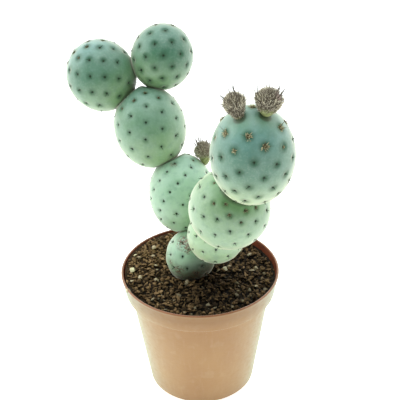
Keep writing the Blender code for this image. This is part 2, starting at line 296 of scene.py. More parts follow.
def solid(name, points, faces):
    """An object from points in millimetres, with its faces pointing outwards."""
    mesh = bpy.data.meshes.new(name)
    mesh.from_pydata([Vector(point) * MM for point in points], [], faces)
    shape = bmesh.new()
    shape.from_mesh(mesh)
    bmesh.ops.recalc_face_normals(shape, faces=shape.faces)
    shape.to_mesh(mesh)
    shape.free()
    return shown(name, mesh)


def evaluated_mesh(made):
    """An object's mesh with its modifiers applied."""
    graph = bpy.context.evaluated_depsgraph_get()
    return bpy.data.meshes.new_from_object(made.evaluated_get(graph))


def cut_away(target, cutters):
    """Cuts objects from another, and removes them."""
    for cutter in cutters:
        boolean = target.modifiers.new(cutter.name, "BOOLEAN")
        boolean.operation = "DIFFERENCE"
        boolean.solver = "EXACT"
        boolean.object = cutter
    mesh = evaluated_mesh(target)
    target.modifiers.clear()
    target.data = mesh
    for cutter in cutters:
        bpy.data.objects.remove(cutter)


def store(mesh, name, values):
    """Keeps one number for each point, which a material reads as an attribute."""
    kept = mesh.attributes.new(name, "FLOAT", "POINT")
    kept.data.foreach_set("value", np.full(len(mesh.vertices), values, np.float32))


def places(mesh):
    """The mesh's points in millimetres."""
    found = np.empty(len(mesh.vertices) * 3)
    mesh.vertices.foreach_get("co", found)
    return found.reshape(-1, 3) / MM


def smooth(mesh, sharp=40.0):
    """Soft shading, with an edge kept wherever two faces meet at more than this angle."""
    mesh.shade_smooth()
    mesh.set_sharp_from_angle(angle=math.radians(sharp))


def finish_piece(piece, material, slot, *nodes):
    """Gives a piece its material, its body and the solids that it stands for; the slot is not used.
    """
    piece.data.materials.clear()
    piece.data.materials.append(material)
    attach(piece, "root")
    if nodes:
        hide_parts(*nodes)


def pot_material():
    """Satin plastic: a little uneven in colour, with dust, water marks and scuffs, and painted
    shade on its rim band.
    """
    sheen = {"Sheen_Weight": 0.5, "Sheen_Roughness": 0.45, "Sheen_Tint": (0.52, 1.0, 0.80, 1.0)}
    made, tree, shader = new_material("pot_plastic", 0.42, IOR=1.5, **sheen)
    clouds = effect(tree, MOTTLE, size=22.0, low=0.3, high=0.7)
    colour = tint(tree, clouds, (0.415, 0.196, 0.057), (0.45, 0.228, 0.072))
    streaks = effect(tree, MOTTLE, size=1.6, stretch=14.0, low=0.52, high=0.8)
    colour = veil(tree, streaks, 0.16, colour, (0.56, 0.36, 0.19))
    marks = effect(tree, MOTTLE, size=6.0, low=0.56, high=0.72, shift=40.0)
    colour = veil(tree, marks, 0.16, colour, (0.58, 0.40, 0.23))
    dust = effect(tree, SPECKS, spacing=2.6, radius=0.22, share=0.3)
    colour = veil(tree, dust, 0.35, colour, (0.66, 0.52, 0.36))
    # Painted shade: the rim band, and a fading trace below it, are darker
    colour = veil(tree, attribute(tree, "band"), 0.55, colour, (0.20, 0.070, 0.0))
    colour = tint(tree, attribute(tree, "lip"), colour, (0.30, 0.105, 0.042))
    scuffs = effect(tree, MOTTLE, size=3.0, stretch=0.4, low=0.4, high=0.7)
    satin = ramp(tree, scuffs, 0.0, 1.0, 0.36, 0.52)
    feed(tree, shader, {"Base Color": colour, "Roughness": satin})
    grain = effect(tree, MOTTLE, "Height", size=0.35, detail=2.0)
    waves = effect(tree, MOTTLE, "Height", size=9.0, stretch=2.5)
    relief(tree, shader, (waves, 0.25), (grain, 0.012))
    return made


def pot_lining():
    """The same plastic on the inside of the wall: painted a deeper red for the shade inside the
    pot, a little smoother, and soiled.
    """
    made, tree, shader = new_material("pot_lining", 0.4, IOR=1.5)
    clouds = effect(tree, MOTTLE, size=9.0, stretch=0.5)
    colour = tint(tree, clouds, (0.19, 0.040, 0.016), (0.25, 0.058, 0.024))
    dirt = effect(tree, MOTTLE, size=2.0, detail=5.0, low=0.5, high=0.7)
    colour = veil(tree, dirt, 0.5, colour, (0.05, 0.028, 0.016))
    feed(tree, shader, {"Base Color": colour})
    relief(tree, shader, (effect(tree, MOTTLE, "Height", size=0.35, detail=2.0), 0.012))
    return made


def pot_profile():
    """The pot's half section, from the middle of its underside round the lip to the floor."""
    band_foot = POT_HEIGHT - BAND_HEIGHT
    inner_floor = FOOT_RECESS + FLOOR
    edge = EDGE_ROUND
    return [
        (0.0, 0.0),
        (FOOT_DISC_RADIUS, 0.0),
        (FOOT_DISC_RADIUS + FOOT_RECESS, FOOT_RECESS),
        (FOOT_RADIUS - FOOT_RING_WIDTH - FOOT_RECESS, FOOT_RECESS),
        (FOOT_RADIUS - FOOT_RING_WIDTH, 0.0),
        (FOOT_RADIUS - edge, 0.0),
        (body_radius(edge), edge),
        (body_radius(band_foot), band_foot),
        (BAND_FOOT_RADIUS, band_foot),
        (RIM_RADIUS - edge / 2, POT_HEIGHT - LIP_FLARE_HEIGHT),
        (RIM_RADIUS, POT_HEIGHT - edge),
        (RIM_RADIUS - edge / 2, POT_HEIGHT),
        (RIM_RADIUS - LIP_WIDTH + edge / 2, POT_HEIGHT),
        (RIM_RADIUS - LIP_WIDTH, POT_HEIGHT - edge),
        (BAND_FOOT_RADIUS - WALL, band_foot + WALL),
        (body_radius(band_foot) - WALL, band_foot + WALL),
        (body_radius(inner_floor) - WALL, inner_floor),
        (0.0, inner_floor),
    ]


def drain_posts():
    """The posts that cut the drain holes, turned so that no corner meets a seam of the floor."""
    low = -FLOOR
    high = FOOT_RECESS + FLOOR * 2
    outline = [(0.0, low), (DRAIN_RADIUS, low), (DRAIN_RADIUS, high), (0.0, high)]
    turn = Matrix.Rotation(math.pi / DRAIN_SIDES, 3, "Z")
    posts = []
    for hole in range(DRAIN_HOLES):
        centre = at_angle(math.tau * (hole + 0.5) / DRAIN_HOLES) * DRAIN_CIRCLE
        points, faces = turned([Vector(point) for point in outline], DRAIN_SIDES)
        posts.append(solid("drain_post", [centre + turn @ point for point in points], faces))
    return posts


def build_pot():
    """The turned wall with its drain holes cut, marked where it is lip, band or inside; the band
    mark carries painted shade.
    """
    pot = solid("pot_shell", *turned(divided(soften(pot_profile()), WALL_STEP), POT_SIDES))
    cut_away(pot, drain_posts())
    where = places(pot.data)
    radius = np.hypot(where[:, 0], where[:, 1])
    height = where[:, 2]
    above = height - POT_HEIGHT + BAND_HEIGHT
    outer = np.where(above > WALL / 2, band_radius(height), body_radius(height))
    inside = (radius < outer - WALL / 2) & (height > FOOT_RECESS + FLOOR / 2)
    inside &= height < POT_HEIGHT - EDGE_ROUND / 3
    store(pot.data, "lip", np.clip((height - POT_HEIGHT + EDGE_ROUND) / EDGE_ROUND * 2.0, 0.0, 1.0))
    # The band's painted shade, fading out below the band's foot
    fading = np.clip(BAND_TRACE * (1.0 + above / BAND_FADE), 0.0, BAND_TRACE)
    store(pot.data, "band", np.maximum(fading, np.clip(above / BAND_HEIGHT * 2.0, 0.0, 1.0)))
    smooth(pot.data, 50.0)
    finish_piece(pot, pot_material(), "pot_plastic", "pot")
    pot.data.materials.append(pot_lining())
    for face in pot.data.polygons:
        face.material_index = int(all(inside[vertex] for vertex in face.vertices))


build_pot()

# The soil
# A dark gravelly mix of peat, crushed lava and grit. It fills the pot nearly to the brim, and the
# plant stands in a plain hole in it. Loose crumbs, grit, chips and a few pale stones lie on it.
SOIL_LEVEL = 67.4
SOIL_SLOPE_X = -0.022
SOIL_SLOPE_Y = -0.014
SOIL_SEED = 11
GRAIN_RELIEF = 0.75
SWELL_HEIGHT = 0.6
SWELL_X = 0.55
SWELL_SHIFT = 1.3
SWELL_Y = 0.6
SWELL_SKEW = 0.2
BED_RINGS = 34
BED_SIDES = 144
BED_DROP = 0.7
BED_EDGE = 2.0
BED_TONE = 0.05
TOP_DEPTH = 3.5
HEAP_WAY = (-0.6, 0.8)
HEAP_START = 8.0
HEAP_REACH = 30.0
HEAP_HEIGHT = 1.9
CREVICE = 1.3
# The way, start and end of the painted light that falls on the soil from the back left
SOIL_LIGHT_WAY = (-0.96, 0.2, 0.0)
SOIL_LIGHT_START = -20.0
SOIL_LIGHT_END = 22.0
# The middle, start and end of the painted shade, on wetter soil, in front of the stem
DAMP_SHADE_MIDDLE = (5.0, -18.0, SOIL_LEVEL)
DAMP_SHADE_START = 7.0
DAMP_SHADE_END = 27.0
MOST_DENSITY = 4.0e6
WALL_CLEAR = 0.7
STEM_CLEAR = 0.9
GRAIN_STRAY = 0.8
GRAIN_TILT = 0.7
GRAIN_REACH = 0.85
STONE_CORNERS = 22
STONE_REACH = 0.8
STONE_WIDTHS = (0.6, 0.9)
STONE_HEIGHTS = (0.45, 0.6)
STONE_LIFT = 0.25
BASE_CENTRE = Vector((-4.5, 3.8, POT_HEIGHT + 6.0))
BASE_HALF_WIDTH = 13.6
BASE_HALF_LENGTH = 14.96
BASE_LEAN = (15.0, 70.0)
ROOT_TOP = 61.6
ROOT_LENGTH = 42.0
ROOT_TOP_RADIUS = 5.0
ROOT_TIP_RADIUS = 0.9
ROOT_BEND = 3.0
ROOT_TAPER = 1.4
ROOT_SIDES = 28
ROOT_RINGS = 40

# Number of shapes, corners, widths and heights of each kind of grain
GRAINS = {
    "crumbs": (7, 16, (0.6, 0.95), (0.5, 0.8)),
    "chips": (6, 14, (0.28, 0.5), (0.16, 0.3)),
}

# Kind, spacing, least and most size, darkest and palest tone, lift and seed of each loose layer
LAYERS = {
    "soil_crumbs": ("crumbs", 1.3, 0.8, 1.35, 0.0, 0.86, 0.0, 3),
    "soil_grit": ("crumbs", 3.0, 1.2, 1.9, 0.1, 1.0, 0.3, 5),
    "soil_chips": ("chips", 2.8, 1.2, 2.4, 0.35, 0.985, 0.45, 8),
}

# Pale stones that stand out: the place on the surface, the size and the tone
STONES = [
    (-36.6, -0.5, 2.5, 1.0),
    (-38.0, -17.5, 2.0, 1.0),
    (-32.0, -6.0, 1.8, 0.97),
    (13.6, 2.0, 2.3, 1.0),
    (15.8, 4.6, 1.6, 0.97),
    (27.5, 16.0, 1.9, 0.95),
    (-25.5, 21.0, 1.9, 0.97),
    (-33.5, 11.5, 1.5, 0.97),
    (30.5, 3.0, 1.6, 0.97),
]


def heading(azimuth, rise):
    """The unit vector at an azimuth from +X and a rise above level."""
    steep = math.radians(rise)
    return at_angle(math.radians(azimuth), math.cos(steep), math.sin(steep))


def axis_frame(axis):
    """The turn that takes +Z to the axis, with the first areole's angle measured from level."""
    upright = abs(axis.z) >= 0.9
    helper = Vector((0.0, -1.0, 0.0)) if upright else Vector((0.0, 0.0, 1.0))
    across = helper.cross(axis).normalized()
    return Matrix((across, axis.cross(across), axis)).transposed()


def soil_height(x, y):
    """The height of the soil's surface without its grains."""
    return SOIL_LEVEL + SOIL_SLOPE_X * x + SOIL_SLOPE_Y * y


def heaped(x, y):
    """How much higher the soil is heaped against the wall at the back left."""
    share = min(max((x * HEAP_WAY[0] + y * HEAP_WAY[1] - HEAP_START) / HEAP_REACH, 0.0), 1.0)
    return HEAP_HEIGHT * share * share * (3.0 - 2.0 * share)


def root_profile(extra):
    """The root's middle line and radius, from the tip up, with extra added to the radius."""
    levels = []
    for level in range(ROOT_RINGS):
        share = level / (ROOT_RINGS - 1)
        radius = ROOT_TIP_RADIUS + (ROOT_TOP_RADIUS - ROOT_TIP_RADIUS) * share**ROOT_TAPER + extra
        sway = ROOT_BEND * math.sin(math.pi * share)
        height = ROOT_TOP - ROOT_LENGTH * (1.0 - share)
        levels.append((Vector((BASE_CENTRE.x + sway, BASE_CENTRE.y, height)), radius))
    return levels


def ring_solid(rings, sides):
    """Points and faces of a closed solid through rings of points, with a flat face at each end."""
    points = [point for ring in rings for point in ring]
    faces = []
    top = len(points) - sides
    for low in range(0, top, sides):
        high = low + sides
        for side in range(sides):
            after = (side + 1) % sides
            faces.append([low + side, low + after, high + after, high + side])
    faces.append(list(range(sides))[::-1])
    faces.append([top + side for side in range(sides)])
    return points, faces


def level_ring(centre, radius, sides):
    """A level ring of points."""
    return [centre + at_angle(math.tau * side / sides) * radius for side in range(sides)]


def to_mesh(name, shape):
    """A mesh from a finished bmesh."""
    mesh = bpy.data.meshes.new(name)
    shape.to_mesh(mesh)
    shape.free()
    return mesh


def stem_hole():
    """The lowest segment's hole in the soil: its egg, grown by the gap, on the root's flat top."""
    ball = bmesh.new()
    bmesh.ops.create_icosphere(ball, subdivisions=5, radius=1.0)
    turn = axis_frame(heading(*BASE_LEAN))
    wide = Vector((BASE_HALF_WIDTH + GAP, BASE_HALF_WIDTH + GAP, BASE_HALF_LENGTH + GAP))
    for vert in ball.verts:
        place = BASE_CENTRE + turn @ (vert.co * wide)
        place.z = max(place.z, ROOT_TOP)
        vert.co = place * MM
    return shown("stem_hole", to_mesh("stem_hole", ball))


def root_hole():
    """The root's hole: the root grown by the gap, closed a little below and above."""
    levels = root_profile(GAP * 1.5)
    rings = [level_ring(centre, radius, ROOT_SIDES) for centre, radius in levels]
    below = [point - Vector((0.0, 0.0, GAP * 2)) for point in rings[0]]
    above = [point + Vector((0.0, 0.0, GAP * 2)) for point in rings[-1]]
    return solid("root_hole", *ring_solid([below] + rings + [above], ROOT_SIDES))


def soil_material():
    """Damp peat and stone: each grain has its own tone, from black-brown to a pale few, under
    painted light and shade.
    """
    made, tree, shader = new_material("soil_mix", 0.75, Specular_IOR_Level=0.06)
    tone = attribute(tree, "tone")
    place = node(tree, "ShaderNodeTexCoord", label="Object")
    # Painted shade: darker low in the gaps between grains, lighter on their tops
    slope = (-SOIL_SLOPE_X, -SOIL_SLOPE_Y, 1.0)
    level = vectors(tree, "DOT_PRODUCT", place, slope, "Value")
    low = SOIL_LEVEL - CREVICE
    high = SOIL_LEVEL + CREVICE
    in_light = ramp(tree, level, low * MM, high * MM, 0.08, 1.1)
    # Painted light: the soil is lighter towards the back left, where the light comes from
    toward_light = vectors(tree, "DOT_PRODUCT", place, SOIL_LIGHT_WAY, "Value")
    painted_soil_light = ramp(tree, toward_light, SOIL_LIGHT_START * MM, SOIL_LIGHT_END * MM, 0.71, 1.05)
    # Painted shade in front of the stem, where the soil is also wetter
    apart = vectors(tree, "DISTANCE", place, Vector(DAMP_SHADE_MIDDLE) * MM, "Value")
    damp_shade = ramp(tree, apart, DAMP_SHADE_START * MM, DAMP_SHADE_END * MM, 0.66, 1.0)
    shade = maths(tree, "MULTIPLY", maths(tree, "MULTIPLY", in_light, painted_soil_light), damp_shade)
    grey = node(tree, "ShaderNodeCombineColor", {"Red": shade, "Green": shade, "Blue": shade})
    colour = tint(tree, ramp(tree, tone, 0.0, 0.7), (0.034, 0.020, 0.009), (0.248, 0.152, 0.070))
    colour = tint(tree, ramp(tree, tone, 0.8, 0.9), colour, (0.36, 0.22, 0.11))
    colour = tint(tree, ramp(tree, tone, 0.92, 0.95), colour, (0.48, 0.39, 0.25))
    colour = tint(tree, ramp(tree, tone, 0.985, 0.992), colour, (0.66, 0.60, 0.38))
    colour = tint(tree, 1.0, colour, grey, "MULTIPLY")
    worn = effect(tree, MOTTLE, size=0.8, detail=4.0, low=0.45, high=0.7)
    colour = veil(tree, worn, 0.3, colour, (0.020, 0.014, 0.009))
    feed(tree, shader, {"Base Color": colour, "Roughness": ramp(tree, worn, 0.0, 1.0, 0.55, 0.85)})
    relief(tree, shader, (effect(tree, MOTTLE, "Height", size=0.5, detail=5.0), 0.22))
    return made


SOIL_MIX = soil_material()


def build_bed():
    """The body of the soil: a closed block with an uneven top, and the plant's hole."""
    draw = np.random.default_rng(SOIL_SEED)
    ledge = POT_HEIGHT - BAND_HEIGHT + WALL + GAP
    floor = FOOT_RECESS + FLOOR + GAP
    inset = WALL + GAP * 1.5
    lower = [
        (0.0, floor),
        (body_radius(floor) - inset, floor),
        (body_radius(POT_HEIGHT - BAND_HEIGHT) - inset, ledge),
        (band_radius(ledge) - inset, ledge),
    ]
    rim = band_radius(SOIL_LEVEL) - inset
    top = [(rim * (1.0 - ring / BED_RINGS), SOIL_LEVEL) for ring in range(BED_RINGS + 1)]
    points, faces = turned([Vector(point) for point in lower + top], BED_SIDES)
    for point in points:
        if point.z < SOIL_LEVEL:
            continue
        inward = min((rim - point.xy.length) / BED_EDGE, 1.0)
        height = soil_height(point.x, point.y) + heaped(point.x, point.y) - BED_DROP * inward
        swell = math.sin(point.x * SWELL_X + SWELL_SHIFT)
        swell *= math.sin(point.y * SWELL_Y + point.x * SWELL_SKEW)
        height += SWELL_HEIGHT * swell * inward
        point.z = height + draw.uniform(-0.5, 0.5) * GRAIN_RELIEF * inward
    bed = solid("soil_bed", points, faces)
    cut_away(bed, [stem_hole(), root_hole()])
    store(bed.data, "tone", BED_TONE)
    smooth(bed.data, 30.0)
    finish_piece(bed, SOIL_MIX, "soil_mix", "soil")
    return bed


def new_tree(name, **inputs):
    """An empty geometry node tree, with inputs named under their kinds."""
    tree = bpy.data.node_groups.new(name, "GeometryNodeTree")
    tree.interface.new_socket("Geometry", in_out="INPUT", socket_type="NodeSocketGeometry")
    for kind, labels in inputs.items():
        for label in labels:
            tree.interface.new_socket(label, in_out="INPUT", socket_type="NodeSocket" + kind)
    tree.interface.new_socket("Geometry", in_out="OUTPUT", socket_type="NodeSocketGeometry")
    return tree, *ends(tree)


def end_tree(tree, made, geometry, finish):
    """Ends a geometry node tree in plain meshes with their material."""
    real = node(tree, "GeometryNodeRealizeInstances", {"Geometry": geometry})
    finished = node(tree, "GeometryNodeSetMaterial", {"Geometry": real, "Material": finish})
    feed(tree, made, {"Geometry": finished})
    return tree


def read_value(tree, name, kind="FLOAT"):
    """A number or vector that is stored on the points of a tree's geometry."""
    return node(tree, "GeometryNodeInputNamedAttribute", {"Name": name}, data_type=kind)


def keep_value(tree, geometry, name, value, domain="POINT"):
    """Stores a number on a tree's geometry."""
    links = {"Geometry": geometry, "Name": name, "Value": value}
    settings = {"data_type": "FLOAT", "domain": domain}
    return node(tree, "GeometryNodeStoreNamedAttribute", links, **settings)


def random_value(tree, low, high, seed, kind="FLOAT"):
    """A random number or vector for each point."""
    links = {"Min": low, "Max": high, "Seed": seed}
    return node(tree, "FunctionNodeRandomValue", links, data_type=kind)


def shape_set(tree, shapes):
    """The shapes of a collection, each by itself."""
    links = {"Collection": shapes, "Separate Children": True, "Reset Children": True}
    return node(tree, "GeometryNodeCollectionInfo", links)


def grown(name, mesh, tree, values):
    """The mesh that a geometry node tree makes from another mesh and named values."""
    seed = shown(name, mesh)
    modifier = seed.modifiers.new(name, "NODES")
    modifier.node_group = tree
    for socket in tree.interface.items_tree:
        if socket.in_out == "INPUT" and socket.name in values:
            modifier[socket.identifier] = values[socket.name]
    made = evaluated_mesh(seed)
    made.name = name
    seed.modifiers.clear()
    bpy.data.objects.remove(seed)
    return made


def gravel_tree():
    """Loose grains: shapes from a collection, scattered on the marked faces of a mesh."""
    numbers = ["Spacing", "Least Size", "Most Size", "Least Tone", "Most Tone", "Lift"]
    others = {"Collection": ["Shapes"], "Int": ["Seed"], "Material": ["Finish"]}
    tree, given, made = new_tree("loose_gravel", Float=numbers, **others)
    seed = given["Seed"]
    open_ground = read_value(tree, "open_ground")
    links = {
        "Mesh": given["Geometry"],
        "Selection": node(tree, "FunctionNodeCompare", {"A": open_ground, "B": 0.5}),
        "Distance Min": given["Spacing"],
        "Density Max": MOST_DENSITY,
        "Seed": seed,
    }
    points = node(
        tree, "GeometryNodeDistributePointsOnFaces", links, distribute_method="POISSON"
    )
    stray = GRAIN_STRAY * MM
    uneven = random_value(tree, -stray, stray, maths(tree, "ADD", seed, 2.0))
    raised = maths(tree, "ADD", uneven, given["Lift"])
    lift = node(tree, "ShaderNodeCombineXYZ", {"Z": raised})
    least = (-GRAIN_TILT, -GRAIN_TILT, 0.0)
    most = (GRAIN_TILT, GRAIN_TILT, math.tau)
    tumble = random_value(tree, least, most, seed, "FLOAT_VECTOR")
    links = {
        "Points": node(tree, "GeometryNodeSetPosition", {"Geometry": points, "Offset": lift}),
        "Instance": shape_set(tree, given["Shapes"]),
        "Pick Instance": True,
        "Rotation": node(tree, "FunctionNodeEulerToRotation", {"Euler": tumble}),
        "Scale": random_value(tree, given["Least Size"], given["Most Size"], seed),
    }
    grains = node(tree, "GeometryNodeInstanceOnPoints", links)
    tone_seed = maths(tree, "ADD", seed, 1.0)
    tone = random_value(tree, given["Least Tone"], given["Most Tone"], tone_seed)
    toned = keep_value(tree, grains, "tone", tone, "INSTANCE")
    return end_tree(tree, made, toned, given["Finish"])


def add_hull(shape, draw, corners, least, place):
    """Adds the hull of random directions, each put in its place at a random reach."""
    verts = []
    for _ in range(corners):
        way = Vector([draw.gauss(0.0, 1.0) for _ in range(3)]).normalized()
        verts.append(shape.verts.new(place(way, draw.uniform(least, 1.0))))
    hull = bmesh.ops.convex_hull(shape, input=verts)
    loose = [piece for piece in hull["geom_interior"] if isinstance(piece, bmesh.types.BMVert)]
    bmesh.ops.delete(shape, geom=loose, context="VERTS")


def add_shape(shapes, mesh):
    """Puts a mesh into a collection of shapes."""
    shapes.objects.link(bpy.data.objects.new(mesh.name, mesh))


def grain_shapes(draw, name, count, corners, widths, heights):
    """A collection of crumb shapes: hulls of a few points on a flattened, lengthened ball."""
    shapes = bpy.data.collections.new(name)
    for number in range(count):
        crumb = bmesh.new()
        form = Vector((1.0, draw.uniform(*widths), draw.uniform(*heights)))
        add_hull(crumb, draw, corners, GRAIN_REACH, lambda way, reach: way * form * reach)
        bmesh.ops.recalc_face_normals(crumb, faces=crumb.faces)
        add_shape(shapes, to_mesh(f"{name}_{number}", crumb))
    return shapes


def drop_shapes(shapes):
    """Removes a collection of shapes once they have been used."""
    for shape in list(shapes.objects):
        bpy.data.objects.remove(shape)
    bpy.data.collections.remove(shapes)


def mark_open_ground(bed):
    """Marks the bed's top, apart from a margin at the pot's wall and round the stem."""
    where = places(bed.data)
    local = (where - np.array(BASE_CENTRE)) @ np.array(axis_frame(heading(*BASE_LEAN)))
    reach = np.array([BASE_HALF_WIDTH, BASE_HALF_WIDTH, BASE_HALF_LENGTH]) + STEM_CLEAR
    outside_stem = ((local / reach) ** 2).sum(axis=1) > 1.0
    wall = band_radius(SOIL_LEVEL) - WALL - WALL_CLEAR
    inside_wall = np.hypot(where[:, 0], where[:, 1]) < wall
    on_top = where[:, 2] > SOIL_LEVEL - TOP_DEPTH
    store(bed.data, "open_ground", outside_stem & inside_wall & on_top)


def build_gravel(bed):
    """The loose surface: a close layer of dark crumbs, with coarser and paler bits on it."""
    mark_open_ground(bed)
    draw = random.Random(SOIL_SEED)
    tree = gravel_tree()
    shapes = {kind: grain_shapes(draw, kind, *form) for kind, form in GRAINS.items()}
    for name, (kind, spacing, least, most, dark, pale, lift, seed) in LAYERS.items():
        values = {
            "Shapes": shapes[kind],
            "Spacing": spacing * MM,
            "Least Size": least * MM,
            "Most Size": most * MM,
            "Least Tone": dark,
            "Most Tone": pale,
            "Lift": lift * MM,
            "Seed": seed,
            "Finish": SOIL_MIX,
        }
        mesh = grown(name, bed.data.copy(), tree, values)
        finish_piece(shown(name, mesh), SOIL_MIX, "soil_mix")
    for used in shapes.values():
        drop_shapes(used)


def build_stones():
    """A few larger pale stones, each an uneven hull lying in the loose surface."""
    draw = random.Random(SOIL_SEED + 1)
    whole = bmesh.new()
    tones = []
    for x, y, size, tone in STONES:
        middle = Vector((x, y, soil_height(x, y) + heaped(x, y) + size * STONE_LIFT))
        form = Vector((1.0, draw.uniform(*STONE_WIDTHS), draw.uniform(*STONE_HEIGHTS)))
        spin = Matrix.Rotation(draw.uniform(0.0, math.tau), 3, "Z")

        def place(way, reach):
            return (middle + spin @ (way * form * size * reach)) * MM

        add_hull(whole, draw, STONE_CORNERS, STONE_REACH, place)
        tones += [tone] * (len(whole.verts) - len(tones))
    bmesh.ops.recalc_face_normals(whole, faces=whole.faces)
    mesh = to_mesh("soil_stones", whole)
    store(mesh, "tone", tones)
    finish_piece(shown("soil_stones", mesh), SOIL_MIX, "soil_mix")


build_gravel(build_bed())
build_stones()

# The root
# The main root below the lowest segment: a tapered, slightly bent peg with a corky brown bark.
# It grows on from the stem and is buried in the soil, so it shows only when the plant is lifted.
ROOT_SEED = 4
RIDGE_DEPTH = 0.05
KNOT_DEPTH = 0.04
KNOT_STEP = 1.9


def root_material():
    """Corky bark: rings and cracks along a brown peg, with soil in them."""
    made, tree, shader = new_material("root_bark", 0.85)
    rings = effect(tree, MOTTLE, size=3.0, stretch=0.35, low=0.35, high=0.65)
    colour = tint(tree, rings, (0.11, 0.065, 0.034), (0.27, 0.18, 0.10))
    dirt = effect(tree, SPECKS, spacing=1.4, radius=0.5, share=0.4)
    colour = veil(tree, dirt, 0.7, colour, (0.03, 0.02, 0.014))
    feed(tree, shader, {"Base Color": colour})
    cracks = effect(tree, MOTTLE, "Height", size=1.2, stretch=2.2, detail=5.0)
    relief(tree, shader, (cracks, 0.5))
    return made


def build_root():
    """The peg, with ridges along it and a slight swelling at each knot."""
    draw = random.Random(ROOT_SEED)
    ridges = [draw.uniform(-RIDGE_DEPTH, RIDGE_DEPTH) for _ in range(ROOT_SIDES)]
    rings = []
    for level, (centre, radius) in enumerate(root_profile(0.0)):
        knot = 1.0 - KNOT_DEPTH * (1.0 + math.sin(level * KNOT_STEP))
        ring = level_ring(Vector(), 1.0, ROOT_SIDES)
        spread = [radius * knot * (1.0 - abs(ridge)) for ridge in ridges]
        rings.append([centre + point * reach for point, reach in zip(ring, spread)])
    root = solid("root_peg", *ring_solid(rings, ROOT_SIDES))
    smooth(root.data, 60.0)
    finish_piece(root, root_material(), "root_bark", "root")


build_root()

# The stem segments
# Eight round green segments, each grown from the one below and pressed a little into it. The skin
# is waxy and blue-green, and a spiral of small pits runs round it, each darker than the skin.
GOLDEN_TURN = 180.0 * (3.0 - math.sqrt(5.0))
SEAT = 0.955
BUD_SEAT = 0.987
BUD_FOOT = 2.2
BURIED_MARGIN = 2.5
CLOSING = 0.13
FAR = 99.0
PATCH_CORE = 1.6
PATCH_FADE = 1.2
AREOLE_RADIUS = 1.1
PIT_REACH = 2.4
PIT_DEPTH = 0.42
LUMP_SIZE = 9.0
LUMP_HEIGHT = 0.35
SKIN_DIVISIONS = 7

# Parent, width, stretch, seat, lean, areoles, crowding, first angle and turn of each segment
SEGMENTS = {
    "base": (None, 27.2, 1.1, None, (15, 70), 44, 1.0, 20, 137.51),
    "back_lower": ("base", 35.6, 1.21, (122, 61), (94, 54), 80, 1.02, 53, -136.82),
    "back_middle": ("back_lower", 38.4, 1.16, (149, 44), (119, 64), 73, 1.25, 137, 137.92),
    "back_left": ("back_middle", 36.8, 1.07, (153, 29), (149, 52), 71, 1.08, 171, 137.43),
    "back_top": ("back_middle", 33.2, 1.07, (69, 65), (58, 62), 60, 0.87, 145, 137.62),
    "front_lower": ("base", 30.0, 1.05, (-37, 41), (-54, 55), 46, 1.0, 75, -137.51),
    "front_middle": ("front_lower", 39.6, 1.08, (-66, 60), (-78, 47), 72, 1.83, 142, -137.51),
    "front_top": ("front_middle", 38.6, 1.29, (-44, 44), (-97, 76), 84, 0.83, 266, -137.48),
}
TOUCHING = [("back_left", "back_top")]

# How dark the skin is round a pit, how blue it is, how much larger the young tufts are, how near
# the tip they start, how much painted light pales its underside and deepens the painted shade at
# its joints, how frosted the whole is, and how strong the painted bluish highlight on its crown
LOOKS = {
    "base": (0.3, 0.24, 0.3, 0.9, 0.3, 0.45, 0.12),
    "back_lower": (0.25, 0.36, 0.8, 0.7, 0.0, 0.5, 0.16),
    "back_middle": (0.5, 0.77, 0.9, 0.55, 0.0, 0.08, 0.3),
    "back_left": (0.72, 0.98, 1.0, 0.62, 0.0, 0.0, 0.7),
    "back_top": (0.78, 1.0, 0.7, 0.75, 0.0, 0.0, 0.1),
    "front_lower": (0.15, 0.0, 0.3, 0.9, 0.4, 0.12, 0.0),
    "front_middle": (0.35, 0.4, 1.2, 0.74, 0.85, 0.0, 0.0),
    "front_top": (0.85, 1.0, 2.2, 0.5, 0.5, 0.0, 0.7),
}

# Parent, width, length, seat and lean of each bud
BUDS = {
    "front_left": ("front_top", 10.0, 11.6, (-130, 66), (138, 64)),
    "front_right": ("front_top", 12.6, 12.4, (-57, 69), (51, 71)),
    "back": ("back_lower", 10.0, 13.2, (28, 42), (104, 78)),
}

# Brown corky scars: the segment, the place of the middle and the reach
SCARS = {
    "base": [
        ((-8.3, -2.0, 88.4), 4.4),
        ((-6.0, -5.0, 86.0), 2.8),
        ((-14.5, -3.5, 77.0), 1.7),
        ((-11.0, -7.5, 74.5), 3.0),
        ((-2.0, -9.0, 73.0), 2.4),
    ],
    "back_lower": [((-13.0, 18.5, 125.0), 2.4)],
}

# Soil on the lowest segment: an edge all round in the scars' colours, reaching higher on the right
# where it also stands for shade, and one patch of painted shadow on its lower front
DIRT_REACH = 8.0
DIRT_SHARE = 0.85
DIRT_AND_SHADE_SIDES = (0.5, 2.0)
BASE_SHADOW_PATCH = ((3.0, -11.0, 70.5), 12.0)


def skin_distance(egg, direction):
    """How far the egg's skin lies from its centre along a unit direction."""
    _, axis, half_width, half_length = egg
    along = axis.dot(direction)
    return 1.0 / math.sqrt(along**2 / half_length**2 + (1.0 - along**2) / half_width**2)


def skin_normal(egg, direction):
    """The unit vector square to the egg's skin, where a direction from its centre meets it."""
    _, axis, half_width, half_length = egg
    along = axis * axis.dot(direction)
    return (along / half_length**2 + (direction - along) / half_width**2).normalized()


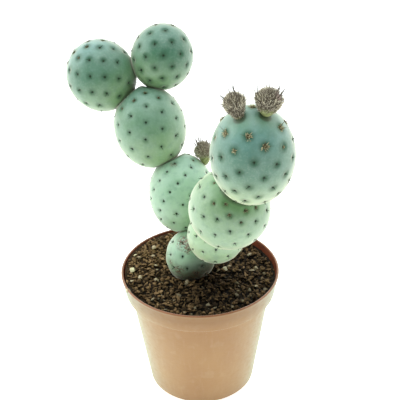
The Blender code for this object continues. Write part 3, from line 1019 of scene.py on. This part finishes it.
def plan_plant():
    """Each segment's egg, the flat cuts where it meets its neighbours, and each bud's seat."""
    eggs = {}
    cuts = {name: [] for name in SEGMENTS}
    for name, (parent, width, stretch, seat, lean, *_) in SEGMENTS.items():
        half_width = width / 2
        half_length = half_width * stretch
        axis = heading(*lean)
        centre = BASE_CENTRE
        if parent:
            seat = heading(*seat)
            contact = eggs[parent][0] + seat * skin_distance(eggs[parent], seat) * SEAT
            centre = contact + axis * half_length * SEAT
            outward = (seat + axis).normalized()
            cuts[parent].append((contact - outward * GAP / 2, outward))
            cuts[name].append((contact + outward * GAP / 2, -outward))
        eggs[name] = (centre, axis, half_width, half_length)
    for first, second in TOUCHING:
        apart = eggs[second][0] - eggs[first][0]
        share = eggs[first][2] / (eggs[first][2] + eggs[second][2])
        middle = eggs[first][0] + apart * share
        outward = apart.normalized()
        cuts[first].append((middle - outward * GAP / 2, outward))
        cuts[second].append((middle + outward * GAP / 2, -outward))
    cuts["base"].append((Vector((0.0, 0.0, ROOT_TOP + GAP)), Vector((0.0, 0.0, -1.0))))
    seats = {}
    for name, (parent, _, _, seat, _) in BUDS.items():
        seat = heading(*seat)
        contact = eggs[parent][0] + seat * skin_distance(eggs[parent], seat) * BUD_SEAT
        seats[name] = (contact, skin_normal(eggs[parent], seat))
    return eggs, cuts, seats


EGGS, CUTS, BUD_SEATS = plan_plant()


def seats_on(segment):
    """The seats of the buds that grow from a segment."""
    return [BUD_SEATS[bud] for bud, (parent, *_) in BUDS.items() if parent == segment]


def spiral(count, crowding=1.0, first_angle=0.0, turn=GOLDEN_TURN):
    """Unit vectors on a spiral from the +Z pole down, with angles in degrees."""
    points = []
    for step in range(count):
        height = 1.0 - 2.0 * ((step + 0.5) / count) ** crowding
        angle = math.radians(first_angle + step * turn)
        points.append(at_angle(angle, math.sqrt(1.0 - height * height), height))
    return points


def areoles_of(name):
    """The spiral's unit vectors that carry an areole, away from the contacts and the soil."""
    centre, axis, half_width, half_length = EGGS[name]
    around = axis_frame(axis)
    stretch = Vector((half_width, half_width, half_length))
    meetings = CUTS[name] + seats_on(name)
    kept = []
    for areole in spiral(*SEGMENTS[name][5:]):
        place = centre + around @ (areole * stretch)
        near = any((place - point).dot(outward) > -AREOLE_RADIUS for point, outward in meetings)
        ground = soil_height(place.x, place.y) + BURIED_MARGIN
        if not near and not (name == "base" and place.z < ground):
            kept.append(areole)
    return kept


def flattened(where, cuts):
    """Points put back onto each cut that they lie beyond, and how far they are from its disc."""
    distance = np.full(len(where), FAR)
    for point, outward in cuts:
        outward = np.array(outward)
        beyond = (where - np.array(point)) @ outward
        sideways = where - np.array(point) - np.outer(beyond, outward)
        contact = beyond > 0.0
        middle = sideways[contact].mean(axis=0) if contact.any() else np.zeros(3)
        reach = np.linalg.norm(sideways - middle, axis=1)
        radius = reach[contact].max() if contact.any() else 0.0
        apart = np.hypot(np.maximum(reach - radius, 0.0), np.minimum(beyond, 0.0))
        distance = np.minimum(distance, apart)
        where = where - np.outer(np.maximum(beyond, 0.0), outward)
    return where, distance


def skin_tree():
    """A segment's skin: a ball drawn out to an egg, with a pit at each of the given points."""
    sizes = ["Half Width", "Half Length", "Pit Reach", "Pit Depth", "Lump Size", "Lump Height"]
    tree, given, made = new_tree("stem_skin", Int=["Divisions"], Float=sizes, Material=["Finish"])
    links = {"Radius": 1.0, "Subdivisions": given["Divisions"]}
    ball = node(tree, "GeometryNodeMeshIcoSphere", links)
    way = node(tree, "GeometryNodeInputPosition")
    links = {"X": given["Half Width"], "Y": given["Half Width"], "Z": given["Half Length"]}
    place = vectors(tree, "MULTIPLY", way, node(tree, "ShaderNodeCombineXYZ", links))
    links = {"Geometry": given["Geometry"], "Sample Position": place}
    distance = node(tree, "GeometryNodeProximity", links, "Distance", target_element="POINTS")
    full_depth = maths(tree, "MULTIPLY", given["Pit Depth"], -1.0)
    pit = ramp(tree, distance, 0.0, given["Pit Reach"], full_depth, 0.0)
    closeness = maths(tree, "DIVIDE", 1.0, given["Lump Size"])
    noise = node(tree, "ShaderNodeTexNoise", {"Vector": place, "Scale": closeness, "Detail": 1.0})
    lumps = maths(tree, "MULTIPLY", maths(tree, "SUBTRACT", noise, 0.5), given["Lump Height"])
    raised = vectors(tree, "SCALE", way, maths(tree, "ADD", pit, lumps))
    height = node(tree, "ShaderNodeSeparateXYZ", {"Vector": way}, "Z")
    skin = keep_value(tree, ball, "tip", height)
    skin = keep_value(tree, skin, "areole", maths(tree, "DIVIDE", distance, MM))
    links = {"Geometry": skin, "Position": vectors(tree, "ADD", place, raised)}
    skin = node(tree, "GeometryNodeSetPosition", links)
    return end_tree(tree, made, skin, given["Finish"])


def skin_material():
    """Waxy skin: blue-green above, yellow-green below and painted paler there, with a pale bloom,
    dark pits, painted shade at the joints and a painted highlight on the crown.
    """
    constants = {
        "IOR": 1.42,
        "Coat_IOR": 1.75,
        "Coat_Roughness": 0.45,
        "Sheen_Weight": 1.0,
        "Sheen_Roughness": 0.36,
        "Sheen_Tint": (1.0, 0.97, 0.80, 1.0),
        "Subsurface_Weight": 0.12,
        "Subsurface_Radius": (0.6, 1.0, 0.45),
        "Subsurface_Scale": 0.002,
    }
    made, tree, shader = new_material("cactus_skin", 0.5, **constants)
    blueness = attribute(tree, "blueness")
    pallor = attribute(tree, "pallor")
    tip = attribute(tree, "tip")
    upper = tint(tree, blueness, (0.37, 0.54, 0.275), (0.044, 0.175, 0.099))
    # Below: its own yellower green, painted paler as if lit by the table beneath
    under = tint(tree, blueness, (0.48, 0.65, 0.29), (0.16, 0.30, 0.115))
    under = tint(tree, pallor, under, (0.72, 0.82, 0.41))
    colour = tint(tree, ramp(tree, tip, -0.95, 0.3), under, upper)
    colour = tint(tree, attribute(tree, "frost"), colour, (0.33, 0.57, 0.43))
    # Painted highlight: a bluish sheen of the top light laid over the crown
    crown = ramp(tree, tip, 0.3, 0.9)
    colour = veil(tree, crown, attribute(tree, "crown"), colour, (0.14, 0.33, 0.31))
    bloom = effect(tree, MOTTLE, size=11.0, low=0.38, high=0.68)
    colour = veil(tree, bloom, 0.2, colour, (0.30, 0.46, 0.38))
    blotch = effect(tree, MOTTLE, size=3.2, low=0.45, high=0.7, shift=30.0)
    colour = veil(tree, blotch, 0.26, colour, (0.075, 0.19, 0.12))
    mealy = effect(tree, MOTTLE, size=1.1, low=0.45, high=0.7, shift=9.0)
    colour = veil(tree, mealy, 0.11, colour, (0.42, 0.56, 0.46))
    pores = effect(tree, SPECKS, spacing=0.8, radius=0.13, share=0.5)
    colour = veil(tree, pores, 0.3, colour, (0.50, 0.62, 0.50))
    # The halo round each pit, where the waxy coat is thin, and the dark felt in it
    areole = attribute(tree, "areole")
    near_tip = ramp(tree, tip, 0.4, 0.6, 0.0, 0.15)
    darkness = maths(tree, "ADD", attribute(tree, "halo"), near_tip)
    reach = maths(tree, "MULTIPLY_ADD", darkness, 2.5, 1.7)
    halo = maths(tree, "MULTIPLY", ramp(tree, areole, 0.3, reach, 0.8, 0.0), darkness)
    colour = tint(tree, halo, colour, (0.024, 0.085, 0.034))
    spot = ramp(tree, areole, 0.5, 0.85, 0.95, 0.0)
    felt = tint(tree, attribute(tree, "halo"), (0.008, 0.028, 0.011), (0.03, 0.085, 0.042))
    colour = tint(tree, spot, colour, felt)
    # Painted shade: a deeper green towards a joint on the pale segments, and a dark line in the
    # joint
    crease = attribute(tree, "crease")
    painted_joint_shadow = ramp(tree, crease, 0.5, 9.0, 0.75, 0.0)
    colour = veil(tree, painted_joint_shadow, pallor, colour, (0.12, 0.30, 0.09))
    colour = tint(tree, ramp(tree, crease, 0.1, 1.3, 0.8, 0.0), colour, (0.05, 0.085, 0.03))
    # Painted shadow on the lowest segment, then soil and corky scars
    colour = veil(tree, attribute(tree, "grime"), 0.75, colour, (0.025, 0.030, 0.014))
    scar = attribute(tree, "scar")
    bark = effect(tree, MOTTLE, size=1.3, detail=5.0, low=0.4, high=0.6)
    colour = veil(tree, scar, bark, colour, (0.21, 0.135, 0.075))
    cracks = effect(tree, MOTTLE, size=0.9, detail=5.0, low=0.5, high=0.6)
    colour = veil(tree, scar, cracks, colour, (0.05, 0.038, 0.023))
    links = {"Base Color": colour, "Roughness": ramp(tree, bloom, 0.0, 1.0, 0.46, 0.6)}
    links["Coat Weight"] = ramp(tree, halo, 0.0, 0.7, 0.6, 0.0)
    feed(tree, shader, links)
    fine = effect(tree, MOTTLE, "Height", size=0.5, detail=3.0)
    broad = effect(tree, MOTTLE, "Height", size=3.5, detail=2.0)
    relief(tree, shader, (broad, 0.2), (fine, 0.035))
    return made


def patch(where, middle, reach):
    """How far each point lies inside a soft round patch, from 0 to 1."""
    apart = np.linalg.norm(where - np.array(middle), axis=1)
    return np.clip(PATCH_CORE - apart / reach * PATCH_FADE, 0.0, 1.0)


def build_segments():
    """Each segment's skin, cut flat at its joints, with the numbers that its material reads."""
    tree = skin_tree()
    finish = skin_material()
    for name, (halo, blueness, _, _, pallor, frost, crown) in LOOKS.items():
        centre, axis, half_width, half_length = EGGS[name]
        stretch = Vector((half_width, half_width, half_length))
        pits = bpy.data.meshes.new("pits")
        pits.from_pydata([areole * stretch * MM for areole in areoles_of(name)], [], [])
        values = {
            "Divisions": SKIN_DIVISIONS,
            "Half Width": half_width * MM,
            "Half Length": half_length * MM,
            "Pit Reach": PIT_REACH * MM,
            "Pit Depth": PIT_DEPTH * MM,
            "Lump Size": LUMP_SIZE * MM,
            "Lump Height": LUMP_HEIGHT * MM,
            "Finish": finish,
        }
        mesh = grown("skin_" + name, pits, tree, values)
        where = places(mesh) @ np.array(axis_frame(axis)).T + np.array(centre)
        closed = [(point + outward * CLOSING, outward) for point, outward in CUTS[name]]
        where, crease = flattened(where, closed)
        # The painted shade of the joints also rings each bud's foot
        for seat, _ in seats_on(name):
            apart = np.linalg.norm(where - np.array(seat), axis=1) - BUD_FOOT
            crease = np.minimum(crease, np.maximum(apart, 0.0))
        mesh.vertices.foreach_set("co", (where * MM).ravel())
        scar = np.zeros(len(where))
        for middle, reach in SCARS.get(name, []):
            scar = np.maximum(scar, patch(where, middle, reach))
        grime = 0.0
        if name == "base":
            ground = np.array([soil_height(x, y) for x, y in where[:, :2]])
            # The soil edge climbs higher on the right: partly soil, partly painted shade
            side = np.clip(1.0 + (where[:, 0] - centre.x) / half_width, *DIRT_AND_SHADE_SIDES)
            low = np.clip(1.0 - (where[:, 2] - ground) / (DIRT_REACH * side), 0.0, 1.0)
            scar = np.maximum(scar, DIRT_SHARE * low)
            # Painted shadow on the lowest segment's lower front, where the segment above it shades
            # it
            grime = patch(where, *BASE_SHADOW_PATCH)
        numbers = {"crease": crease, "scar": scar, "grime": grime, "halo": halo}
        numbers.update({"blueness": blueness, "pallor": pallor, "frost": frost, "crown": crown})
        for label, number in numbers.items():
            store(mesh, label, number)
        mesh.update()
        smooth(mesh)
        finish_piece(shown("skin_" + name, mesh), finish, "cactus_skin", "segment_" + name)


build_segments()

# The areoles' tufts
# A small felt cushion sits in each pit, with a tuft of short barbed bristles and a few long hairs.
# Towards a segment's tip they are young, larger and straw-coloured. Each is one with the skin.
TUFT_SEED = 21
TUFT_KINDS = 4
SMALL_TUFT = 0.9
SIZE_STRAY = 0.15
SINK = 0.9
DROOP = -0.25
YOUNG_RATE = 6.0
LEAST_GROWTH = 0.1
FULL_GROWTH = 2.0
CUSHION_SIDES = 6
CUSHION_STRAY = (0.85, 1.15)
CUSHION_TOP = 0.2
CUSHION_TOP_TONE = 0.25
HAIR_TONE = 0.05
KNEE = 0.55
KNEE_BEND = 0.35
KNEE_WIDTH = 0.75
FOOT_TONE = 0.75
TIP_TONE = 1.25

# Reach, height and tone of each ring of points below the top of a felt cushion
CUSHION_RINGS = ((0.3, 0.1, 0.2), (0.42, -0.15, 0.05))

# Count, rises, spread of the feet, bend, lengths, radius and tones of the bristles and the hairs
OLD_TUFT = [
    (6, (15.0, 80.0), 0.2, 0.12, (0.4, 0.9), 0.05, (0.3, 1.0)),
    (3, (35.0, 85.0), 0.25, 0.2, (1.6, 3.0), 0.11, None),
]
YOUNG_TUFT = [
    (30, (15.0, 80.0), 0.35, 0.12, (0.3, 0.62), 0.07, (0.3, 1.0)),
    (3, (35.0, 85.0), 0.25, 0.2, (1.0, 1.6), 0.035, None),
]


def scattered(draw, reach):
    """A random vector, with each number within this reach."""
    return Vector([draw.uniform(-reach, reach) for _ in range(3)])


def add_bristle(shape, foot, way, length, radius, bend, tone):
    """Adds one bristle: a three-sided tapered needle that bends a little towards its tip."""
    points, faces, tones = shape
    turn = axis_frame(way)
    first = len(points)
    knee = foot + way * length * KNEE + bend * KNEE_BEND
    for place, size, share in ((foot, radius, FOOT_TONE), (knee, radius * KNEE_WIDTH, 1.0)):
        for side in range(3):
            points.append(place + turn @ (at_angle(math.tau * side / 3) * size))
            tones.append(tone * share)
    points.append(foot + way * length + bend)
    tones.append(min(tone * TIP_TONE, 1.0))
    faces.append([first, first + 2, first + 1])
    for side in range(3):
        after = (side + 1) % 3
        faces.append([first + side, first + after, first + 3 + after, first + 3 + side])
        faces.append([first + 3 + side, first + 3 + after, first + 6])


def shape_mesh(name, shape):
    """A small shape for the instances, with its tones."""
    points, faces, tones = shape
    mesh = bpy.data.meshes.new(name)
    mesh.from_pydata(points, [], faces)
    store(mesh, "tone", tones)
    return mesh


def cushion(draw):
    """The points, faces and tones of a small uneven dome of felt."""
    points = [Vector((0.0, 0.0, CUSHION_TOP))]
    tones = [CUSHION_TOP_TONE]
    for reach, height, tone in CUSHION_RINGS:
        for side in range(CUSHION_SIDES):
            uneven = reach * draw.uniform(*CUSHION_STRAY)
            points.append(at_angle(math.tau * side / CUSHION_SIDES, uneven, height))
            tones.append(tone)
    faces = []
    outer = 1 + CUSHION_SIDES
    for side in range(CUSHION_SIDES):
        after = (side + 1) % CUSHION_SIDES
        faces.append([0, 1 + side, 1 + after])
        faces.append([1 + side, outer + side, outer + after, 1 + after])
    faces.append([2 * CUSHION_SIDES - side for side in range(CUSHION_SIDES)])
    return points, faces, tones


def tuft_shapes(draw):
    """Tufts one millimetre across, each a felt cushion with bristles: first old, then young."""
    shapes = bpy.data.collections.new("tufts")
    for number, kinds in enumerate([OLD_TUFT] * TUFT_KINDS + [YOUNG_TUFT] * TUFT_KINDS):
        shape = cushion(draw)
        for count, rises, spread, sway, lengths, radius, tones in kinds:
            for _ in range(count):
                way = heading(draw.uniform(0.0, 360.0), draw.uniform(*rises))
                foot = Vector((way.x, way.y, 0.0)) * spread
                bend = scattered(draw, sway)
                length = draw.uniform(*lengths)
                tone = draw.uniform(*tones) if tones else HAIR_TONE
                add_bristle(shape, foot, way, length, radius, bend, tone)
        add_shape(shapes, shape_mesh(f"tuft_{number}", shape))
    return shapes


def tuft_tree():
    """The chosen shape from a collection on each point, turned to its outward direction."""
    inputs = {"Collection": ["Shapes"], "Int": ["Seed"], "Material": ["Finish"]}
    tree, given, made = new_tree("tufts_on_points", **inputs)
    outward = read_value(tree, "outward", "FLOAT_VECTOR")
    aligned = node(tree, "FunctionNodeAlignRotationToVector", {"Vector": outward}, axis="Z")
    about = random_value(tree, 0.0, math.tau, given["Seed"])
    spin = node(tree, "ShaderNodeCombineXYZ", {"Z": about})
    spin = node(tree, "FunctionNodeEulerToRotation", {"Euler": spin})
    links = {"Rotation": aligned, "Rotate By": spin}
    links = {
        "Points": given["Geometry"],
        "Instance": shape_set(tree, given["Shapes"]),
        "Pick Instance": True,
        "Instance Index": read_value(tree, "shape"),
        "Rotation": node(tree, "FunctionNodeRotateRotation", links, rotation_space="LOCAL"),
        "Scale": read_value(tree, "size"),
    }
    copies = node(tree, "GeometryNodeInstanceOnPoints", links)
    return end_tree(tree, made, copies, given["Finish"])


TUFTS_ON_POINTS = tuft_tree()


def point_mesh(rows, young):
    """Points in millimetres, each with a direction, a size, a shape's number and its youth."""
    points, ways, sizes, chosen = zip(*rows)
    mesh = bpy.data.meshes.new("points")
    mesh.from_pydata([point * MM for point in points], [], [])
    outward = mesh.attributes.new("outward", "FLOAT_VECTOR", "POINT")
    outward.data.foreach_set("vector", np.array(ways, np.float32).ravel())
    store(mesh, "size", np.array(sizes) * MM)
    store(mesh, "shape", chosen)
    store(mesh, "young", young)
    return mesh


def tuft_material():
    """Felt and bristles: black-green where they are old, and straw-coloured where young."""
    made, tree, shader = new_material("areole_bristle", 0.7, Specular_IOR_Level=0.2)
    tone = ramp(tree, attribute(tree, "tone"), 0.15, 0.9)
    old = tint(tree, tone, (0.010, 0.030, 0.014), (0.05, 0.085, 0.038))
    fresh = tint(tree, tone, (0.115, 0.10, 0.045), (0.77, 0.71, 0.46))
    colour = tint(tree, attribute(tree, "young"), old, fresh)
    fibres = effect(tree, MOTTLE, size=0.4, detail=3.0)
    colour = veil(tree, fibres, 0.2, colour, (0.075, 0.065, 0.03))
    feed(tree, shader, {"Base Color": colour})
    relief(tree, shader, (effect(tree, MOTTLE, "Height", size=0.2), 0.05))
    return made


def build_tufts():
    """A tuft in each pit, leaning out and a little down, with the young ones at the tip."""
    draw = random.Random(TUFT_SEED)
    shapes = tuft_shapes(draw)
    finish = tuft_material()
    for number, (name, (_, _, growth, youth, *_)) in enumerate(LOOKS.items()):
        centre, axis, half_width, half_length = EGGS[name]
        turn = axis_frame(axis)
        stretch = Vector((half_width, half_width, half_length))
        rows = []
        young = []
        for areole in areoles_of(name):
            place = centre + turn @ (areole * stretch) - (turn @ areole) * PIT_DEPTH * SINK
            way = (turn @ Vector([a / s for a, s in zip(areole, stretch)])).normalized()
            droop = Vector((0.0, 0.0, DROOP)) * max(areole.z, 0.0)
            extra = growth * min(max(areole.z - youth, 0.0) * YOUNG_RATE, 1.0)
            size = SMALL_TUFT + extra + draw.uniform(-SIZE_STRAY, SIZE_STRAY)
            is_young = extra > LEAST_GROWTH
            shape = draw.randrange(TUFT_KINDS) + TUFT_KINDS * is_young
            rows.append((place, (way + droop).normalized(), size, shape))
            young.append(min(growth / FULL_GROWTH, 1.0) * is_young)
        values = {"Shapes": shapes, "Seed": TUFT_SEED + number, "Finish": finish}
        mesh = grown("tufts_" + name, point_mesh(rows, young), TUFTS_ON_POINTS, values)
        finish_piece(shown("tufts_" + name, mesh), finish, "bud_bristles")
    drop_shapes(shapes)


build_tufts()

# The buds
# Three dry flower buds, each a cup that is narrow where it grows from its segment, domed at its
# top and thickly covered with coarse grey-brown bristles that slant towards its tip.
BUD_SEED = 33
BUD_WAIST = 0.62
BUD_CORE = 0.93
BUD_DIVISIONS = 5
BUD_BRISTLES = 7.6
HEAD_TONE = 0.15
HEAD_UNEVEN = 0.25
HEAD_WAVES = (9.0, 14.0)
CROWN_MIDDLE = 0.1
CROWN_REACH = 0.5
SHORT_SHARE = 0.6
BRISTLE_ROOT = 0.2
BRISTLE_SLANT = 1.0
BRISTLE_BEND = 0.22
BRISTLE_STRAY = 0.5
BRISTLE_SIZES = (1.2, 2.4)
LONG_HAIRS = 26
HAIR_RISES = (0.0, 70.0)
HAIR_STRAY = 0.3
HAIR_SIZES = (4.2, 6.6)
COARSE_RADIUS = 0.075
COARSE_TONES = (0.3, 0.95, 0.6, 0.8, 0.15, 1.0, 0.7, 0.45)
HAIR_RADIUS = 0.042
HAIR_TONES = (0.0, 0.0)
FOOT_TOPS = {"front_left": -0.75, "front_right": -0.35, "back": 0.1}
FOOT_BARE = 0.35
FOOT_FADE = 0.3
DISC_FADE = 0.05
DISC_MOST = 0.7

# The bare disc on one bud: its direction from the head's middle, and the cosine at its edge.
# The other buds have none, as no cosine reaches 2.
DISCS = {"front_right": (Vector((0.72, -0.35, 0.6)).normalized(), 0.93)}
NO_DISC = (Vector((0, 0, 1)), 2.0)


def bud_material():
    """Dry scales and bristles: dark gaps, straw-coloured ridges and a yellow-green foot."""
    made, tree, shader = new_material("bud_bristle", 0.75)
    tone = ramp(tree, attribute(tree, "tone"), 0.1, 0.9)
    colour = tint(tree, tone, (0.090, 0.070, 0.044), (0.98, 0.90, 0.68))
    # The bud at the back is paler: partly its own colour, partly painted light against its shade
    colour = veil(tree, attribute(tree, "young"), 0.25, colour, (0.60, 0.50, 0.38))
    colour = veil(tree, attribute(tree, "foot"), 0.75, colour, (0.36, 0.42, 0.15))
    colour = tint(tree, attribute(tree, "disc"), colour, (0.34, 0.25, 0.20))
    fibres = effect(tree, MOTTLE, size=0.5, detail=4.0, low=0.4, high=0.65)
    colour = veil(tree, fibres, 0.3, colour, (0.075, 0.055, 0.038))
    feed(tree, shader, {"Base Color": colour})
    relief(tree, shader, (effect(tree, MOTTLE, "Height", size=0.3), 0.12))
    return made


def bristle_shapes(draw):
    """Single bristles one millimetre high, each bent a little, and then two thin dark hairs."""
    shapes = bpy.data.collections.new("bristles")
    for number, tone in enumerate(COARSE_TONES + HAIR_TONES):
        shape = ([], [], [])
        sways = [draw.uniform(-BRISTLE_BEND, BRISTLE_BEND) for _ in range(2)]
        bend = Vector((*sways, 0.0))
        foot = Vector((0.0, 0.0, -BRISTLE_ROOT))
        radius = COARSE_RADIUS if number < len(COARSE_TONES) else HAIR_RADIUS
        add_bristle(shape, foot, Vector((0, 0, 1)), 1.0 + BRISTLE_ROOT, radius, bend, tone)
        add_shape(shapes, shape_mesh(f"bristle_{number}", shape))
    return shapes


def bud_middle(bud):
    """The middle of a bud's head."""
    _, _, length, _, lean = BUDS[bud]
    return BUD_SEATS[bud][0] + heading(*lean) * length * BUD_SEAT / 2


def on_head(bud, direction, raised=0.0):
    """A place on a bud's head, and the slanting direction in which its bristle grows."""
    _, width, length, _, lean = BUDS[bud]
    turn = axis_frame(heading(*lean))
    lift = (direction.z + 1.0) / 2
    waist = BUD_WAIST + (1.0 - BUD_WAIST) * min(lift / BUD_WAIST, 1.0)
    flat = Vector((direction.x, direction.y, 0.0)) * width / 2 * waist * BUD_CORE
    place = flat + Vector((0.0, 0.0, direction.z * length / 2))
    slant = (direction + Vector((0.0, 0.0, BRISTLE_SLANT))).normalized()
    return bud_middle(bud) + turn @ (place + slant * raised), turn @ slant


def build_head(name, finish, lit_and_faded):
    """A bud's core, uneven and flat where it meets the skin, marked for its foot and its disc."""
    contact, outward = BUD_SEATS[name]
    ball = bmesh.new()
    bmesh.ops.create_icosphere(ball, subdivisions=BUD_DIVISIONS, radius=1.0)
    lifts = []
    for vert in ball.verts:
        direction = vert.co.normalized()
        lifts.append(direction.z)
        wave = direction.x * HEAD_WAVES[0] + direction.z * HEAD_WAVES[1]
        vert.co, _ = on_head(name, direction, HEAD_UNEVEN * math.sin(wave))
    head = to_mesh("head_" + name, ball)
    where = np.array([vert.co for vert in head.vertices])
    where, _ = flattened(where, [(contact + outward * GAP / 2, -outward)])
    head.vertices.foreach_set("co", (where * MM).ravel())
    ways = where - np.array(bud_middle(name))
    ways /= np.linalg.norm(ways, axis=1)[:, None]
    disc_way, disc_edge = DISCS.get(name, NO_DISC)
    store(head, "tone", HEAD_TONE)
    store(head, "young", lit_and_faded)
    store(head, "foot", np.clip((FOOT_TOPS[name] - np.array(lifts)) / FOOT_FADE, 0.0, 1.0))
    inside = (ways @ np.array(disc_way) - disc_edge) / DISC_FADE
    store(head, "disc", np.clip(inside, 0.0, DISC_MOST))
    smooth(head, 60.0)
    finish_piece(shown("bud_" + name + "_head", head), finish, "bud_bristles", "bud_" + name)


def bristle_rows(name, draw):
    """A place, direction, size and shape for each bristle and hair on a bud's head."""
    _, width, length, _, _ = BUDS[name]
    middle = bud_middle(name)
    disc_way, disc_edge = DISCS.get(name, NO_DISC)
    rows = []
    for tip in spiral(int(width * length * BUD_BRISTLES)):
        place, way = on_head(name, tip)
        on_disc = (place - middle).normalized().dot(disc_way) > disc_edge
        if on_disc or tip.z < FOOT_TOPS[name] - FOOT_BARE:
            continue
        way = (way + scattered(draw, BRISTLE_STRAY)).normalized()
        crown = math.exp(-(((tip.z - CROWN_MIDDLE) / CROWN_REACH) ** 2))
        size = draw.uniform(*BRISTLE_SIZES) * (SHORT_SHARE + (1.0 - SHORT_SHARE) * crown)
        rows.append((place, way, size, draw.randrange(len(COARSE_TONES))))
    for _ in range(LONG_HAIRS):
        tip = heading(draw.uniform(0.0, 360.0), draw.uniform(*HAIR_RISES))
        place, way = on_head(name, tip)
        way = (way + scattered(draw, HAIR_STRAY)).normalized()
        size = draw.uniform(*HAIR_SIZES)
        rows.append((place, way, size, len(COARSE_TONES) + draw.randrange(len(HAIR_TONES))))
    return rows


def build_buds():
    """Each bud's head, with its bristles and hairs; the one at the back is paler, partly by its own
    colour and partly by painted light against its shade.
    """
    draw = random.Random(BUD_SEED)
    shapes = bristle_shapes(draw)
    finish = bud_material()
    for number, name in enumerate(BUDS):
        lit_and_faded = float(name == "back")
        build_head(name, finish, lit_and_faded)
        tips = point_mesh(bristle_rows(name, draw), lit_and_faded)
        values = {"Shapes": shapes, "Seed": BUD_SEED + number, "Finish": finish}
        mesh = grown("bud_" + name + "_bristles", tips, TUFTS_ON_POINTS, values)
        finish_piece(shown(mesh.name, mesh), finish, "bud_bristles")
    drop_shapes(shapes)


build_buds()

# The stage
# A white table in soft daylight from all round, and the camera at the photograph's place. The
# light is weak on the camera's side and strong behind. None of this is part of the object.
TABLE_HALF = 2.5
SOFTBOX_COLOUR = (0.92, 1.0, 0.96)
SOFTBOX_TARGET = (0.0, 0.0, 0.1)
LENS = 83.25
SENSOR_WIDTH = 36.0
CAMERA_PLACE = (0.0, -0.4096, 0.3568)
CAMERA_TURN = (59.192, 0.988, -0.692)

# Place in metres, width and power of each lamp
SOFTBOXES = {
    "softbox_top": ((0.0, -0.1, 1.0), 0.7, 3.0),
    "softbox_left": ((-0.8, 0.0, 0.6), 0.4, 2.0),
}


def build_table():
    """A wide white table that glows a little, so that it stays as pale as the surroundings."""
    signs = ((-1, -1), (1, -1), (1, 1), (-1, 1))
    corners = [(x * TABLE_HALF, y * TABLE_HALF, 0.0) for x, y in signs]
    mesh = bpy.data.meshes.new("table")
    mesh.from_pydata(corners, [], [[0, 1, 2, 3]])
    glow = {"Emission_Color": (1.0, 1.0, 0.985, 1.0), "Emission_Strength": 0.74}
    made, tree, shader = new_material("table_white", 0.9, **glow)
    cloud = effect(tree, MOTTLE, size=120.0)
    feed(tree, shader, {"Base Color": tint(tree, cloud, (0.88, 0.88, 0.87), (0.90, 0.90, 0.89))})
    mesh.materials.append(made)
    table = shown("table", mesh)


def build_surroundings():
    """Daylight from all round, weak on the camera's side; to the camera it looks plain white."""
    world = bpy.data.worlds.new("studio")
    world.use_nodes = True
    tree = world.node_tree
    way = node(tree, "ShaderNodeTexCoord", label="Generated")
    back = node(tree, "ShaderNodeSeparateXYZ", {"Vector": way}, "Y")
    high = node(tree, "ShaderNodeSeparateXYZ", {"Vector": way}, "Z")
    level = ramp(tree, back, -0.6, 0.35, 0.03, 1.9)
    daylight = tint(tree, ramp(tree, high, 0.1, 0.9), (1.04, 1.0, 0.95), (0.93, 1.03, 1.09))
    seen = node(tree, "ShaderNodeLightPath", label="Is Camera Ray")
    links = {"Color": tint(tree, seen, daylight, (1.0, 1.0, 1.0))}
    links["Strength"] = node(tree, "ShaderNodeMix", {"Factor": seen, "A": level, "B": 1.0})
    feed(tree, tree.nodes["Background"], links)
    bpy.context.scene.world = world


def build_lamps():
    """Two large soft lamps, above and on the left."""
    for name, (place, width, power) in SOFTBOXES.items():
        light = bpy.data.lights.new(name, "AREA")
        light.shape = "DISK"
        light.size = width
        light.energy = power
        light.color = SOFTBOX_COLOUR
        lamp = shown(name, light)
        lamp.location = place
        toward = Vector(SOFTBOX_TARGET) - Vector(place)
        lamp.rotation_euler = toward.to_track_quat("-Z", "Y").to_euler()


def build_camera():
    """The camera at the photograph's place and angle."""
    lens = bpy.data.cameras.new("camera")
    lens.lens = LENS
    lens.sensor_width = SENSOR_WIDTH
    camera = shown("camera", lens)
    camera.location = CAMERA_PLACE
    camera.rotation_euler = [math.radians(angle) for angle in CAMERA_TURN]
    bpy.context.scene.camera = camera
    bpy.context.scene.view_settings.view_transform = "Standard"


build_table()
build_surroundings()
build_lamps()
build_camera()
